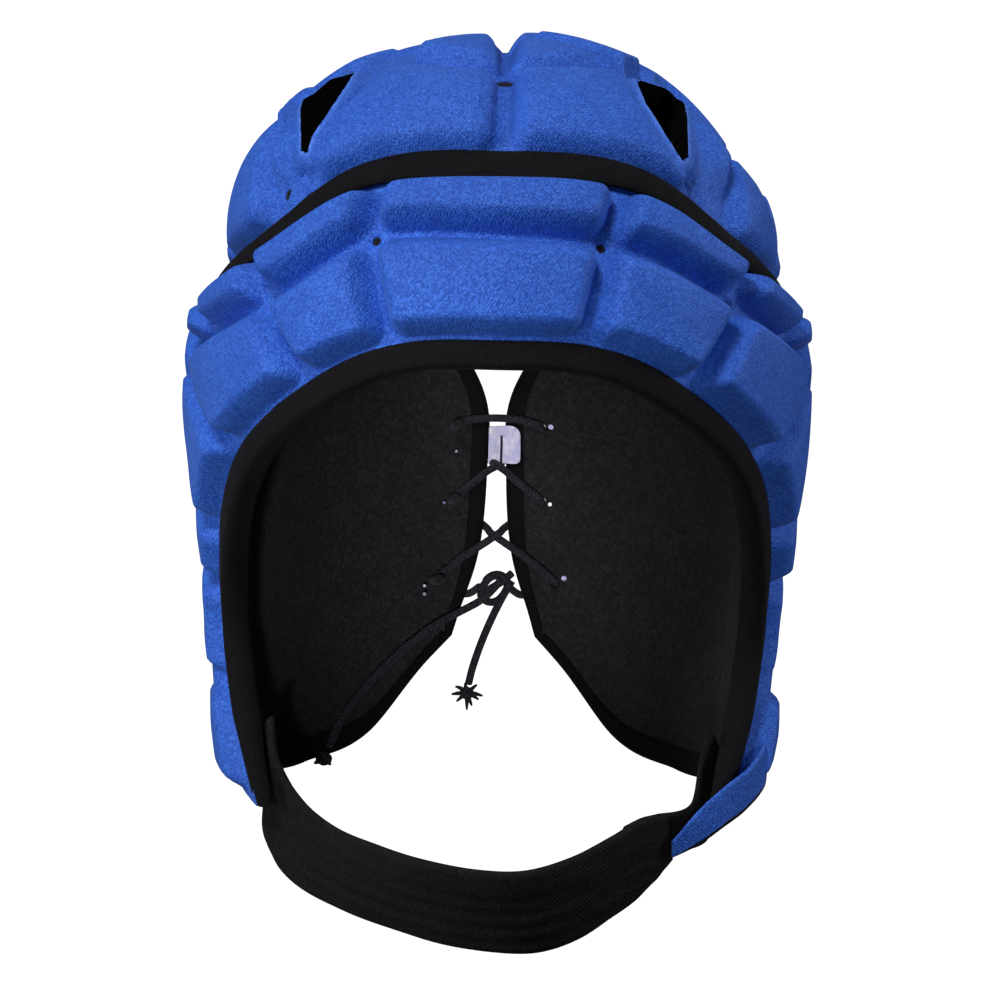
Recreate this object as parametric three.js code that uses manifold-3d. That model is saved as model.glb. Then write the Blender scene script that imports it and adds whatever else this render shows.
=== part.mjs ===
// Padded head guard: foam pads under fabric, black lining, edge tapes, laced back and chin strap.
// Millimetres, Z up, the wearer faces -Y. The origin is where the crown of the head seats.
import * as THREE from "three";
import Module from "manifold-3d";

const wasm = await Module();
wasm.setup();

// Wall layers, measured outward from the lining's inner face
const LINING_OUTER = 1.0;
const FOAM_INNER = 1.3;
const GROOVE_TOP = 4.0;
const LACED_STRIP_TOP = 2.6;
const WRAP_PAD_RISE = 8.0;
const CROWN_PAD_RISE = 5.5;

// Pad edges and the flat margins along the panels' edges
const GROOVE_HALF = 1.8;
const SHOULDER_WIDTH = 5.5;
const SHOULDER_START = 0.9;
const SHOULDER_STEP = 5.5;
const FACE_FLANGE = 9.0;
const SEAM_FLANGE = 6.4;
const SIDE_SEAM_FLANGE = 2.4;
const NECK_FLANGE = 5.5;
const APEX_FLAT = 4.0;
const SEAM_TRIM = 0.9;
const CROWN_TRIM = 2.4;
const FOOT_MARGIN = 3.0;

// Tapes
const TAPE_HALF = 4.6;
const TAPE_THICK = 1.0;
const TAPE_LIFT = 0.9;
const BINDING_LEG = 6.5;
const NECK_BINDING_LEG = 4.5;

// Chin strap, lace and label
const STRAP_THICK = 1.6;
const CORD_RADIUS = 1.25;
const CORD_SIDES = 8;
const LACE_HOLE_RADIUS = 2.5;
const KNOT_RING_RADIUS = 4.3;
const TAIL_KNOT_RADIUS = 3.1;
const LABEL_THICK = 0.5;

// Head form under the panels below the seam tape, and the smaller, squarer form under the crown panel
const WRAP_FORM = {
  halfWidth: 80, front: 97, back: 99, rise: 88,
  plan: 2.15, domeFront: 2.5, domeLeft: 2.0, domeRight: 2.0,
  taperSide: 0.09, taperBack: 0.28,
};
const CROWN_FORM = {
  halfWidth: 70, front: 80.5, back: 86, rise: 50,
  plan: 2.4, domeFront: 2.8, domeLeft: 2.15, domeRight: 1.75,
  taperSide: -0.6, taperBack: -0.6,
};
const TAPER_SOFTENING = 8;

// Seam between the crown and the panels below it, from the forehead to the laced back, degrees
const SEAM = [
  { az: 0, el: 40.5 },
  { az: 26.5, el: 38.3 },
  { az: 52, el: 27 },
  { az: 100, el: 12.5 },
  { az: 134, el: 8 },
  { az: 166, el: 5.5 },
  { az: 194, el: 5.5 },
];
const SEAM_CORNER = 3;
const SEAM_LACE = 5;

// Seam between the front panel and a back panel, from the seam tape down to the neck, degrees
const SIDE_SEAM = [
  { az: 100, el: 12.5 },
  { az: 108, el: -10 },
  { az: 110, el: -30 },
  { az: 110, el: -49 },
  { az: 108, el: -60.8 },
];

// Face opening, from the middle of the forehead to the cheek tip, degrees
const FACE_EDGE = [
  { az: 0, el: 9.9 },
  { az: 14.3, el: 8.9 },
  { az: 27.6, el: 2.9 },
  { az: 47.2, el: -11.3 },
  { az: 64, el: -30 },
  { az: 71, el: -39.5 },
  { az: 71, el: -47 },
  { az: 55, el: -57.4 },
];
const LAST_STATION = FACE_EDGE.length - 1;

// Neck edge of a back panel, from the side seam to the nape, and its laced edge from there to the seam tape
const NECK_EDGE = [
  { az: 108, el: -60.8 },
  { az: 125, el: -61.4 },
  { az: 147, el: -60.5 },
  { az: 169.2, el: -52.6 },
];
const LACED_EDGE = [
  { az: 169.2, el: -52.6 },
  { az: 175.2, el: -42 },
  { az: 177, el: -27.5 },
  { az: 176.3, el: -13 },
  { az: 166, el: 5.5 },
];

// Grooves of the crown: azimuth at the seam and at the ring groove, and the ring groove's elevation
const CROWN_SECTORS = [
  { seamAz: 0, ringAz: 0, ringEl: 56 },
  { seamAz: 38, ringAz: 44, ringEl: 50 },
  { seamAz: 46, ringAz: 80, ringEl: 49 },
  { seamAz: 82, ringAz: 100, ringEl: 45 },
  { seamAz: 114, ringAz: 120, ringEl: 44 },
  { seamAz: 147, ringAz: 148, ringEl: 46 },
  { seamAz: 180, ringAz: 180, ringEl: 48 },
];
const CROWN_LAST = CROWN_SECTORS.length - 1;
const CROWN_VENT = [
  { az: 41, el: 20.3 },
  { az: 43.6, el: 20.6 },
  { az: 55, el: 28.6 },
  { az: 66, el: 38.2 },
  { az: 55, el: 44.2 },
  { az: 42.6, el: 31 },
];
const VENT_FIELD_RISE = 5.0;

// Punched lace holes of a back panel, from the top pair to the nape pair, degrees
const LACE_HOLES = [
  { az: 171.2, el: -19.6 },
  { az: 170.2, el: -33 },
  { az: 165.6, el: -45.5 },
];

// Small helpers
const radians = THREE.MathUtils.degToRad;
const degrees = THREE.MathUtils.radToDeg;
const mix = THREE.MathUtils.lerp;

// Smooth curve through evenly numbered values
function throughValues(values, x) {
  const last = values.length - 1;
  const i = Math.min(Math.max(Math.floor(x), 0), last - 1);
  const t = x - i;
  const b = values[i];
  const c = values[i + 1];
  const a = i > 0 ? values[i - 1] : 2 * b - c;
  const d = i + 2 <= last ? values[i + 2] : 2 * c - b;
  const square = (2 * a - 5 * b + 4 * c - d) * t * t;
  const cube = (3 * b - a - 3 * c + d) * t * t * t;
  return 0.5 * (2 * b + (c - a) * t + square + cube);
}

function throughRows(rows, x) {
  const az = throughValues(rows.map((row) => row.az), x);
  const el = throughValues(rows.map((row) => row.el), x);
  return { az, el };
}

// A table of one side read for both sides: the middle row is shared and the other side is mirrored
function mirroredRows(rows) {
  const other = rows.slice(1).reverse().map((row) => ({ az: -row.az, el: row.el }));
  return [...other, ...rows];
}

// Head forms
function direction(az, el) {
  const a = radians(az);
  const e = radians(el);
  return new THREE.Vector3(Math.cos(e) * Math.sin(a), -Math.cos(e) * Math.cos(a), Math.sin(e));
}

function formRadius(form, d) {
  const level = Math.hypot(d.x, d.y) + 1e-9;
  const depth = d.y < 0 ? form.front : form.back;
  const across = Math.abs(d.x) / level / form.halfWidth;
  const along = Math.abs(d.y) / level / depth;
  const planRadius = (across ** form.plan + along ** form.plan) ** (-1 / form.plan);
  const lengthwise = (d.y / level) ** 2;
  if (d.z >= 0) {
    const domeSide = d.x < 0 ? form.domeLeft : form.domeRight;
    const dome = domeSide + (form.domeFront - domeSide) * lengthwise;
    return ((level / planRadius) ** dome + (d.z / form.rise) ** dome) ** (-1 / dome);
  }
  const rear = d.y > 0 ? lengthwise : 0;
  const taper = form.taperSide + (form.taperBack - form.taperSide) * rear;
  let radius = planRadius / level;
  for (let pass = 0; pass < 12; pass += 1) {
    const drop = Math.hypot(radius * d.z, TAPER_SOFTENING) - TAPER_SOFTENING;
    radius = 0.5 * radius + (0.5 * planRadius * (1 - (taper * drop) / 100)) / level;
  }
  return radius;
}

function formBase(form, d) {
  const point = d.clone().normalize();
  point.multiplyScalar(formRadius(form, point));
  point.z -= form.rise;
  return point;
}

function formNormal(form, d) {
  const unit = d.clone().normalize();
  const reference = Math.abs(unit.z) < 0.9 ? new THREE.Vector3(0, 0, 1) : new THREE.Vector3(1, 0, 0);
  const east = new THREE.Vector3().crossVectors(reference, unit).normalize();
  const north = new THREE.Vector3().crossVectors(unit, east);
  const step = 0.01;
  const alongEast = formBase(form, unit.clone().addScaledVector(east, step));
  alongEast.sub(formBase(form, unit.clone().addScaledVector(east, -step)));
  const alongNorth = formBase(form, unit.clone().addScaledVector(north, step));
  alongNorth.sub(formBase(form, unit.clone().addScaledVector(north, -step)));
  return alongEast.cross(alongNorth).normalize();
}

function onForm(form, place, height) {
  const d = direction(place.az, place.el);
  return formBase(form, d).addScaledVector(formNormal(form, d), height);
}

// The place reached from another by going up or down the form by a distance along its surface
function stepAway(form, place, distance) {
  const from = onForm(form, place, 0);
  let change = Math.sign(distance) * 3;
  for (let pass = 0; pass < 3; pass += 1) {
    const reached = onForm(form, { az: place.az, el: place.el + change }, 0).distanceTo(from);
    change *= Math.abs(distance) / reached;
  }
  return { az: place.az, el: place.el + change };
}

// Places on the panels
const FACE_ROWS = mirroredRows(FACE_EDGE);

function seamPlace(station) {
  const side = station < 0 ? -1 : 1;
  const rows = [{ az: -SEAM[1].az, el: SEAM[1].el }, ...SEAM];
  const place = throughRows(rows, Math.abs(station) + 1);
  return { az: side * place.az, el: place.el };
}

function seamAtAzimuth(az) {
  const target = Math.abs(az);
  let low = 0;
  let high = SEAM.length - 1;
  for (let pass = 0; pass < 40; pass += 1) {
    const middle = (low + high) / 2;
    if (seamPlace(middle).az < target) {
      low = middle;
    } else {
      high = middle;
    }
  }
  return { az, el: seamPlace(low).el };
}

function rimPlace(station) {
  const side = station < 0 ? -1 : 1;
  const reach = Math.abs(station);
  if (reach <= SEAM_CORNER) {
    return seamPlace(station);
  }
  const place = throughRows(SIDE_SEAM, reach - SEAM_CORNER);
  return { az: side * place.az, el: place.el };
}

function mixPlaces(a, b, t) {
  return { az: mix(a.az, b.az, t), el: mix(a.el, b.el, t) };
}

function frontPlace(u, v) {
  return mixPlaces(throughRows(FACE_ROWS, u + LAST_STATION), rimPlace(u), v);
}

function backPlace(p, q) {
  const sideRows = SIDE_SEAM.length - 1;
  const bottom = throughRows(NECK_EDGE, p * (NECK_EDGE.length - 1));
  const top = seamPlace(SEAM_CORNER + p * (SEAM_LACE - SEAM_CORNER));
  const fore = throughRows(SIDE_SEAM, (1 - q) * sideRows);
  const aft = throughRows(LACED_EDGE, q * sideRows);
  const lower = mixPlaces(NECK_EDGE[0], NECK_EDGE[NECK_EDGE.length - 1], p);
  const upper = mixPlaces(SIDE_SEAM[0], LACED_EDGE[LACED_EDGE.length - 1], p);
  const corners = mixPlaces(lower, upper, q);
  const rise = mixPlaces(bottom, top, q);
  const run = mixPlaces(fore, aft, p);
  return { az: rise.az + run.az - corners.az, el: rise.el + run.el - corners.el };
}

function sectorValue(name, u) {
  const reach = Math.min(Math.abs(u), CROWN_LAST);
  const i = Math.min(Math.floor(reach), CROWN_LAST - 1);
  return mix(CROWN_SECTORS[i][name], CROWN_SECTORS[i + 1][name], reach - i);
}

function crownSeamElevation(az) {
  const point = onForm(WRAP_FORM, seamAtAzimuth(az), 0);
  return degrees(Math.atan2(point.z + CROWN_FORM.rise, Math.hypot(point.x, point.y)));
}

function crownPlace(u, v) {
  const side = u < 0 ? -1 : 1;
  const ringAz = sectorValue("ringAz", u);
  const ringEl = sectorValue("ringEl", u);
  if (v > 1) {
    return { az: side * ringAz, el: mix(ringEl, 90, Math.min(v - 1, 1)) };
  }
  const seamAz = sectorValue("seamAz", u);
  const az = mix(seamAz, ringAz, v);
  return { az: side * az, el: mix(crownSeamElevation(seamAz), ringEl, v) };
}

// Mesh building
class SolidBuilder {
  constructor() {
    this.points = [];
    this.faces = [];
  }

  add(point) {
    this.points.push(point);
    return this.points.length - 1;
  }

  // Band of triangles between two rows of corners; each row lists corners and how far along they are.
  // Where both rows step at once, the first row steps first unless it is told to wait.
  band(rowA, rowB, firstWaits) {
    let i = 0;
    let j = 0;
    while (i < rowA.length - 1 || j < rowB.length - 1) {
      const nextA = i < rowA.length - 1 ? rowA[i + 1].along : Infinity;
      const nextB = j < rowB.length - 1 ? rowB[j + 1].along : Infinity;
      if (firstWaits ? nextA < nextB : nextA <= nextB) {
        this.faces.push([rowA[i].corner, rowB[j].corner, rowA[i + 1].corner]);
        i += 1;
      } else {
        this.faces.push([rowA[i].corner, rowB[j].corner, rowB[j + 1].corner]);
        j += 1;
      }
    }
  }

  volume() {
    let total = 0;
    for (const [a, b, c] of this.faces) {
      const cross = this.points[b].clone().cross(this.points[c]);
      total += this.points[a].dot(cross) / 6;
    }
    return total;
  }

  geometry() {
    const turn = this.volume() < 0;
    const positions = new Float32Array(this.points.length * 3);
    this.points.forEach((point, i) => point.toArray(positions, i * 3));
    const index = [];
    for (const [a, b, c] of this.faces) {
      index.push(a, turn ? c : b, turn ? b : c);
    }
    const geometry = new THREE.BufferGeometry();
    geometry.setAttribute("position", new THREE.BufferAttribute(positions, 3));
    geometry.setIndex(index);
    return geometry;
  }
}

function toManifold(geometry) {
  const vertProperties = new Float32Array(geometry.getAttribute("position").array);
  const triVerts = new Uint32Array(geometry.getIndex().array);
  return new wasm.Manifold(new wasm.Mesh({ numProp: 3, vertProperties, triVerts }));
}

function fromManifold(solid) {
  const mesh = solid.getMesh();
  const positions = new Float32Array((mesh.vertProperties.length / mesh.numProp) * 3);
  for (let i = 0; i < positions.length / 3; i += 1) {
    for (let axis = 0; axis < 3; axis += 1) {
      positions[i * 3 + axis] = mesh.vertProperties[i * mesh.numProp + axis];
    }
  }
  const geometry = new THREE.BufferGeometry();
  geometry.setAttribute("position", new THREE.BufferAttribute(positions, 3));
  geometry.setIndex([...mesh.triVerts]);
  return geometry;
}

function cutAway(geometry, cutters) {
  let solid = toManifold(geometry);
  for (const cutter of cutters) {
    solid = solid.subtract(toManifold(cutter));
  }
  return fromManifold(solid);
}

// Padded panels. A panel lists its columns and rows of cells; a cell has a start, an end and the flat margin
// at each. Pads rise between the margins and round over at their edges.
function runLength(panel, startU, startV, endU, endV) {
  const pieces = 4;
  let total = 0;
  let before = onForm(panel.form, panel.place(startU, startV), GROOVE_TOP);
  for (let i = 1; i <= pieces; i += 1) {
    const u = mix(startU, endU, i / pieces);
    const v = mix(startV, endV, i / pieces);
    const here = onForm(panel.form, panel.place(u, v), GROOVE_TOP);
    total += here.distanceTo(before);
    before = here;
  }
  return total;
}

function shoulder(distance) {
  const reach = THREE.MathUtils.clamp((distance - SHOULDER_START) / SHOULDER_WIDTH, 0, 1);
  return Math.sin((Math.PI / 2) * reach);
}

// Distances along a cell at which the mesh has a row of corners; coarse cells serve edges and inner faces
function cellSteps(cell, length, coarse) {
  const margins = cell.startMargin + cell.endMargin;
  const wanted = 2.4 * SHOULDER_STEP;
  const squeeze = Math.min(length / (margins + wanted), 1);
  const start = cell.startMargin * squeeze;
  const end = length - cell.endMargin * squeeze;
  const rise = start + SHOULDER_STEP * squeeze;
  const fall = end - SHOULDER_STEP * squeeze;
  const first = cell.startTrim ?? 0;
  if (cell.flat || (coarse && cell.wide)) {
    return [first, length / 3, (2 * length) / 3];
  }
  if (coarse) {
    return [first, (start + end) / 2];
  }
  const steps = [first];
  if (!cell.lean || cell.startMargin > FOOT_MARGIN) {
    steps.push(start);
  }
  steps.push(rise);
  if (cell.wide) {
    steps.push(mix(rise, fall, 1 / 3), mix(rise, fall, 2 / 3));
  } else if (cell.lean) {
    steps.push((rise + fall) / 2);
  }
  steps.push(fall);
  if (!cell.lean || cell.endMargin > FOOT_MARGIN) {
    steps.push(end);
  }
  return steps;
}

function stepCount(cell, coarse) {
  const anyLength = 100;
  return cellSteps(cell, anyLength, coarse).length;
}

// The rows of a panel from its first edge to its last; the edges themselves are coarse
function panelRows(panel, coarse) {
  const rows = [];
  panel.rows.forEach((rowCell, number) => {
    const count = stepCount(rowCell, coarse);
    for (let step = 0; step < count; step += 1) {
      rows.push({ rowCell, step, coarse, edge: rows.length === 0, along: number + step / count });
    }
  });
  if (!panel.apex) {
    const rowCell = panel.rows[panel.rows.length - 1];
    const step = stepCount(rowCell, coarse);
    rows.push({ rowCell, step, coarse, edge: true, along: panel.rows.length });
  }
  return rows;
}

function rowPosition(panel, row, u) {
  const { rowCell, step, coarse } = row;
  const length = runLength(panel, u, rowCell.start, u, rowCell.end);
  const steps = cellSteps(rowCell, length, coarse);
  const distance = step < steps.length ? steps[step] : length - (rowCell.endTrim ?? 0);
  return mix(rowCell.start, rowCell.end, distance / length);
}

function rowSpots(panel, row) {
  const spots = [];
  const coarse = row.coarse || row.edge;
  const lastCell = panel.columns[panel.columns.length - 1];
  for (const cell of panel.columns) {
    const middle = (cell.start + cell.end) / 2;
    const middleV = rowPosition(panel, row, middle);
    const length = runLength(panel, cell.start, middleV, cell.end, middleV);
    const steps = cellSteps(cell, length, coarse);
    const share = (cell.end - cell.start) / steps.length;
    if (cell === lastCell && !panel.closed) {
      steps.push(length - (cell.endTrim ?? 0));
    }
    steps.forEach((distance, k) => {
      const u = mix(cell.start, cell.end, distance / length);
      spots.push({ u, v: rowPosition(panel, row, u), along: cell.start + share * k });
    });
  }
  return spots;
}

function padRise(panel, rowCell, u, v) {
  const cells = (rowCell.columns ?? panel.columns).filter((cell) => !cell.joined);
  const cell = cells.find((one) => u >= one.start - 1e-9 && u <= one.end + 1e-9);
  if (!cell || cell.flat || rowCell.flat) {
    return cell?.riseAt ? cell.riseAt(u, v) : (cell?.top ?? GROOVE_TOP) - GROOVE_TOP;
  }
  const span = cell.span && v <= cell.span.end ? cell.span : rowCell;
  const left = runLength(panel, cell.start, v, u, v) - cell.startMargin;
  const right = runLength(panel, u, v, cell.end, v) - cell.endMargin;
  const below = runLength(panel, u, span.start, u, v) - span.startMargin;
  const above = runLength(panel, u, v, u, span.end) - span.endMargin;
  return panel.rise * shoulder(left) * shoulder(right) * shoulder(below) * shoulder(above);
}

// Rows of corners over a panel at a height that may vary; coarse rows serve the smooth inner faces
function panelCorners(builder, panel, coarse, heightAt) {
  return panelRows(panel, coarse).map((row) => {
    const corners = rowSpots(panel, row).map(({ u, v, along }) => {
      const point = onForm(panel.form, panel.place(u, v), heightAt(row.rowCell, u, v));
      return { corner: builder.add(point), along };
    });
    if (panel.closed) {
      const end = panel.columns[panel.columns.length - 1].end;
      corners.push({ corner: corners[0].corner, along: end });
    }
    return corners;
  });
}

function sideOfRows(rows, atEnd, panel, coarse) {
  const alongs = panelRows(panel, coarse).map((row) => row.along);
  return rows.map((row, k) => ({ corner: row[atEnd ? row.length - 1 : 0].corner, along: alongs[k] }));
}

function panelSolid(panel, innerHeight, heightAt, coarseOuter) {
  const builder = new SolidBuilder();
  const outer = panelCorners(builder, panel, coarseOuter, heightAt);
  const inner = panelCorners(builder, panel, true, () => innerHeight);
  for (let j = 0; j < outer.length - 1; j += 1) {
    builder.band(outer[j], outer[j + 1]);
  }
  for (let j = 0; j < inner.length - 1; j += 1) {
    builder.band(inner[j + 1], inner[j], true);
  }
  builder.band(inner[0], outer[0]);
  if (panel.apex) {
    const top = builder.add(onForm(panel.form, { az: 0, el: 90 }, heightAt(null, 0, 2)));
    const under = builder.add(onForm(panel.form, { az: 0, el: 90 }, innerHeight));
    builder.band(outer[outer.length - 1], [{ corner: top, along: 0 }]);
    builder.band([{ corner: under, along: 0 }], inner[inner.length - 1]);
  } else {
    builder.band(outer[outer.length - 1], inner[inner.length - 1]);
    const left = [sideOfRows(outer, false, panel, coarseOuter), sideOfRows(inner, false, panel, true)];
    const right = [sideOfRows(outer, true, panel, coarseOuter), sideOfRows(inner, true, panel, true)];
    builder.band(left[0], left[1]);
    builder.band(right[1], right[0]);
  }
  return builder.geometry();
}

function paddedGeometry(panel) {
  const heightAt = (rowCell, u, v) => GROOVE_TOP + (rowCell ? padRise(panel, rowCell, u, v) : 0);
  return panelSolid(panel, FOAM_INNER, heightAt, false);
}

function liningGeometry(panel) {
  return panelSolid(panel, 0, () => LINING_OUTER, true);
}

// Cells between listed grooves
function cellsBetween(grooves, startMargin, endMargin) {
  const cells = [];
  for (let i = 0; i < grooves.length - 1; i += 1) {
    cells.push({
      start: grooves[i],
      end: grooves[i + 1],
      startMargin: i === 0 ? startMargin : GROOVE_HALF,
      endMargin: i === grooves.length - 2 ? endMargin : GROOVE_HALF,
    });
  }
  return cells;
}

// Front panel: two rows of pads that follow the face opening; one more groove in the upper row at each temple
const FRONT_GROOVES = [-7, -6, -5, -4, -3, -2, -1, 1, 2, 3, 4, 5, 6, 7];
const TEMPLE_GROOVE = 2.45;
const FRONT_MIDDLE = 0.6;
const upperGrooves = [...FRONT_GROOVES, -TEMPLE_GROOVE, TEMPLE_GROOVE].sort((a, b) => a - b);
const frontColumns = cellsBetween(upperGrooves, NECK_FLANGE, NECK_FLANGE).map((cell) => {
  return { ...cell, wide: cell.start === -1 };
});
const frontPanel = {
  form: WRAP_FORM,
  place: frontPlace,
  rise: WRAP_PAD_RISE,
  columns: frontColumns,
  rows: [
    {
      start: 0, end: FRONT_MIDDLE, startMargin: FACE_FLANGE, endMargin: GROOVE_HALF,
      columns: cellsBetween(FRONT_GROOVES, NECK_FLANGE, NECK_FLANGE),
    },
    { start: FRONT_MIDDLE, end: 1, startMargin: GROOVE_HALF, endMargin: SEAM_FLANGE, endTrim: SEAM_TRIM },
  ],
};

// Back panels: three columns and four rows of pads, then the flat strip that holds the lace
const BACK_COLUMNS = [0, 0.31, 0.6, 0.86];
const BACK_ROWS = [0, 0.25, 0.5, 0.75, 1];
const lean = (cell) => ({ ...cell, lean: true });
const backColumns = cellsBetween(BACK_COLUMNS, SIDE_SEAM_FLANGE, GROOVE_HALF).map(lean);
backColumns[0].startTrim = SEAM_TRIM;
const LACED_STRIP = { flat: true, top: LACED_STRIP_TOP, startMargin: GROOVE_HALF, endMargin: GROOVE_HALF };
backColumns.push({ ...LACED_STRIP, start: 0.86, end: 1 });
const backRows = cellsBetween(BACK_ROWS, NECK_FLANGE, SEAM_FLANGE).map(lean);
backRows[backRows.length - 1].endTrim = SEAM_TRIM;
function backPanel(side) {
  const place = (p, q) => {
    const spot = backPlace(p, q);
    return { az: side * spot.az, el: spot.el };
  };
  return { form: WRAP_FORM, place, rise: WRAP_PAD_RISE, columns: backColumns, rows: backRows };
}

// Crown panel: two rings of pads behind the seam tape, one tall pad across both at each side of the forehead,
// a flat field round each vent, and a ring of petals round the top
const CROWN_GROOVES = [-6, -5, -4, -3, -2, -1, 0, 1, 2, 3, 4, 5, 6];
const PETAL_GROOVES = [-6, -4, -2, 0, 2, 4, 6];
const CROWN_RING = 0.5;
const tallPad = { start: 0, end: 1, startMargin: SEAM_FLANGE, endMargin: GROOVE_HALF };
// The field round a vent climbs towards the pads behind it
function ventFieldRise(u, v) {
  const across = Math.abs(u) - 1;
  return VENT_FIELD_RISE * Math.min(v, 1) * Math.sin(Math.PI * THREE.MathUtils.clamp(across, 0, 1));
}

const crownColumns = cellsBetween(CROWN_GROOVES, GROOVE_HALF, GROOVE_HALF).map((cell) => {
  const middle = Math.abs((cell.start + cell.end) / 2);
  if (middle > 1 && middle < 2) {
    return { ...cell, flat: true, riseAt: ventFieldRise };
  }
  return middle < 1 ? { ...cell, lean: true, span: tallPad } : { ...cell, lean: true };
});
const crownRings = [
  { start: 0, end: CROWN_RING, startMargin: SEAM_FLANGE, endMargin: GROOVE_HALF, startTrim: CROWN_TRIM },
  { start: CROWN_RING, end: 1, startMargin: GROOVE_HALF, endMargin: GROOVE_HALF },
  {
    start: 1, end: 2, startMargin: GROOVE_HALF, endMargin: APEX_FLAT,
    columns: cellsBetween(PETAL_GROOVES, GROOVE_HALF, GROOVE_HALF),
  },
];
const crownPanel = {
  form: CROWN_FORM,
  place: crownPlace,
  rise: CROWN_PAD_RISE,
  closed: true,
  apex: true,
  columns: crownColumns,
  rows: crownRings.map(lean),
};

// Solids lofted through like sections, closed round, or capped at both ends between the two halves of a section
function loftGeometry(sections, firstHalf) {
  const builder = new SolidBuilder();
  const rings = sections.map((section) => {
    const ring = section.map((point, k) => ({ corner: builder.add(point), along: k }));
    ring.push({ corner: ring[0].corner, along: section.length });
    return ring;
  });
  const join = (ring, next) => {
    const turn = firstHalf - 1;
    builder.band(ring.slice(0, turn + 1), next.slice(0, turn + 1));
    builder.band(ring.slice(turn), next.slice(turn), true);
  };
  if (!firstHalf) {
    rings.forEach((ring, i) => builder.band(ring, rings[(i + 1) % rings.length]));
    return builder.geometry();
  }
  for (let i = 0; i < rings.length - 1; i += 1) {
    join(rings[i], rings[i + 1]);
  }
  const halves = (ring) => {
    const corners = ring.slice(0, -1);
    const there = corners.slice(0, firstHalf);
    const back = corners.slice(firstHalf).reverse();
    const spread = (list) => list.map(({ corner }, k) => ({ corner, along: k / (list.length - 1) }));
    return [spread(there), spread(back)];
  };
  const [startThere, startBack] = halves(rings[0]);
  const [endThere, endBack] = halves(rings[rings.length - 1]);
  builder.band(startBack, startThere);
  builder.band(endThere, endBack);
  return builder.geometry();
}

// Folded edge tape: outline of its section as distance in from the edge and height off the lining
const BINDING_OUTER_POINTS = 6;

function bindingOutline(leg) {
  return [
    new THREE.Vector2(leg, 5.7),
    new THREE.Vector2(0.2, 5.7),
    new THREE.Vector2(-1.6, 4.5),
    new THREE.Vector2(-1.6, -1.3),
    new THREE.Vector2(0.2, -2.3),
    new THREE.Vector2(leg, -2.3),
    new THREE.Vector2(leg, -1.35),
    new THREE.Vector2(-0.6, -1.2),
    new THREE.Vector2(-0.6, 4.5),
    new THREE.Vector2(leg, 4.8),
  ];
}

function bindingGeometry(outline, stops) {
  const sections = stops.map((stop) => outline.map((spot) => stop(spot.x, spot.y)));
  return loftGeometry(sections, BINDING_OUTER_POINTS);
}

function faceBindingStops() {
  const [edgeRow] = panelRows(frontPanel, false);
  return rowSpots(frontPanel, edgeRow).map(({ u }) => (inward, height) => {
    const width = runLength(frontPanel, u, 0, u, 1);
    return onForm(WRAP_FORM, frontPlace(u, inward / width), height);
  });
}

// Neck tape of one side: along the cheek's lower edge, the neck edge and up the laced edge
const CHEEK_TAPE_START = 0.24;
const CHEEK_TAPE_END = 0.97;
const NECK_TAPE_END = 0.95;
const LACED_TAPE_STOPS = [0.06, 0.15, 0.25, 0.375, 0.5, 0.625, 0.75, 0.81, 0.875, 0.925];
const LACED_TAPE_THINNING = 0.66;
const LACED_TAPE_THICK_FROM = 0.8;

function neckBindingStops(side) {
  const panel = backPanel(side);
  const stops = [];
  const tip = side * LAST_STATION;
  for (const row of panelRows(frontPanel, false)) {
    const v = rowPosition(frontPanel, row, tip);
    const depth = runLength(frontPanel, tip, v, tip - side, v);
    if (v > CHEEK_TAPE_START && v < CHEEK_TAPE_END) {
      const along = (inward) => frontPlace(tip - (side * inward) / depth, v);
      stops.push((inward, height) => onForm(WRAP_FORM, along(inward), height));
    }
  }
  const [neckRow] = panelRows(panel, false);
  for (const { u } of rowSpots(panel, neckRow)) {
    const depth = runLength(panel, u, 0, u, 0.25) * 4;
    if (u < NECK_TAPE_END) {
      stops.push((inward, height) => onForm(WRAP_FORM, panel.place(u, inward / depth), height));
    }
  }
  const cornerDepth = runLength(panel, 1, 0, 1, 0.25) * 4;
  const stripWidth = (q) => runLength(panel, 0.86, q, 1, q) / 0.14;
  stops.push((inward, height) => {
    const p = 1 - (0.8 * inward) / stripWidth(0);
    const spot = panel.place(p, (0.5 * inward) / cornerDepth);
    return onForm(WRAP_FORM, spot, height * LACED_TAPE_THINNING);
  });
  for (const q of LACED_TAPE_STOPS) {
    const width = stripWidth(q);
    const thinning = q > LACED_TAPE_THICK_FROM ? 1 : LACED_TAPE_THINNING;
    const along = (inward) => panel.place(1 - inward / width, q);
    stops.push((inward, height) => onForm(WRAP_FORM, along(inward), height * thinning));
  }
  return stops;
}

// Seam tape all round the crown
const TAPE_STATIONS = 48;

function seamTapeGeometry() {
  const sections = [];
  for (let i = 0; i < TAPE_STATIONS; i += 1) {
    const az = -180 + (360 * i) / TAPE_STATIONS;
    const seam = seamAtAzimuth(az);
    const crownEl = crownSeamElevation(az);
    const lowPlace = stepAway(WRAP_FORM, seam, -TAPE_HALF);
    const highPlace = stepAway(CROWN_FORM, { az, el: crownEl }, TAPE_HALF);
    const under = GROOVE_TOP + TAPE_LIFT;
    const over = under + TAPE_THICK;
    const wrapSeam = onForm(WRAP_FORM, seam, under + 0.3);
    const crownSeam = onForm(CROWN_FORM, { az, el: crownEl }, under + 0.3);
    const out = formNormal(WRAP_FORM, direction(az, seam.el));
    const proud = wrapSeam.clone().sub(crownSeam).dot(out) > 0 ? wrapSeam : crownSeam;
    sections.push([
      onForm(CROWN_FORM, highPlace, over),
      proud.clone().addScaledVector(out, TAPE_THICK),
      onForm(WRAP_FORM, lowPlace, over),
      onForm(WRAP_FORM, lowPlace, under),
      proud.clone(),
      onForm(CROWN_FORM, highPlace, under),
    ]);
  }
  return loftGeometry(sections, null);
}

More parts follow.
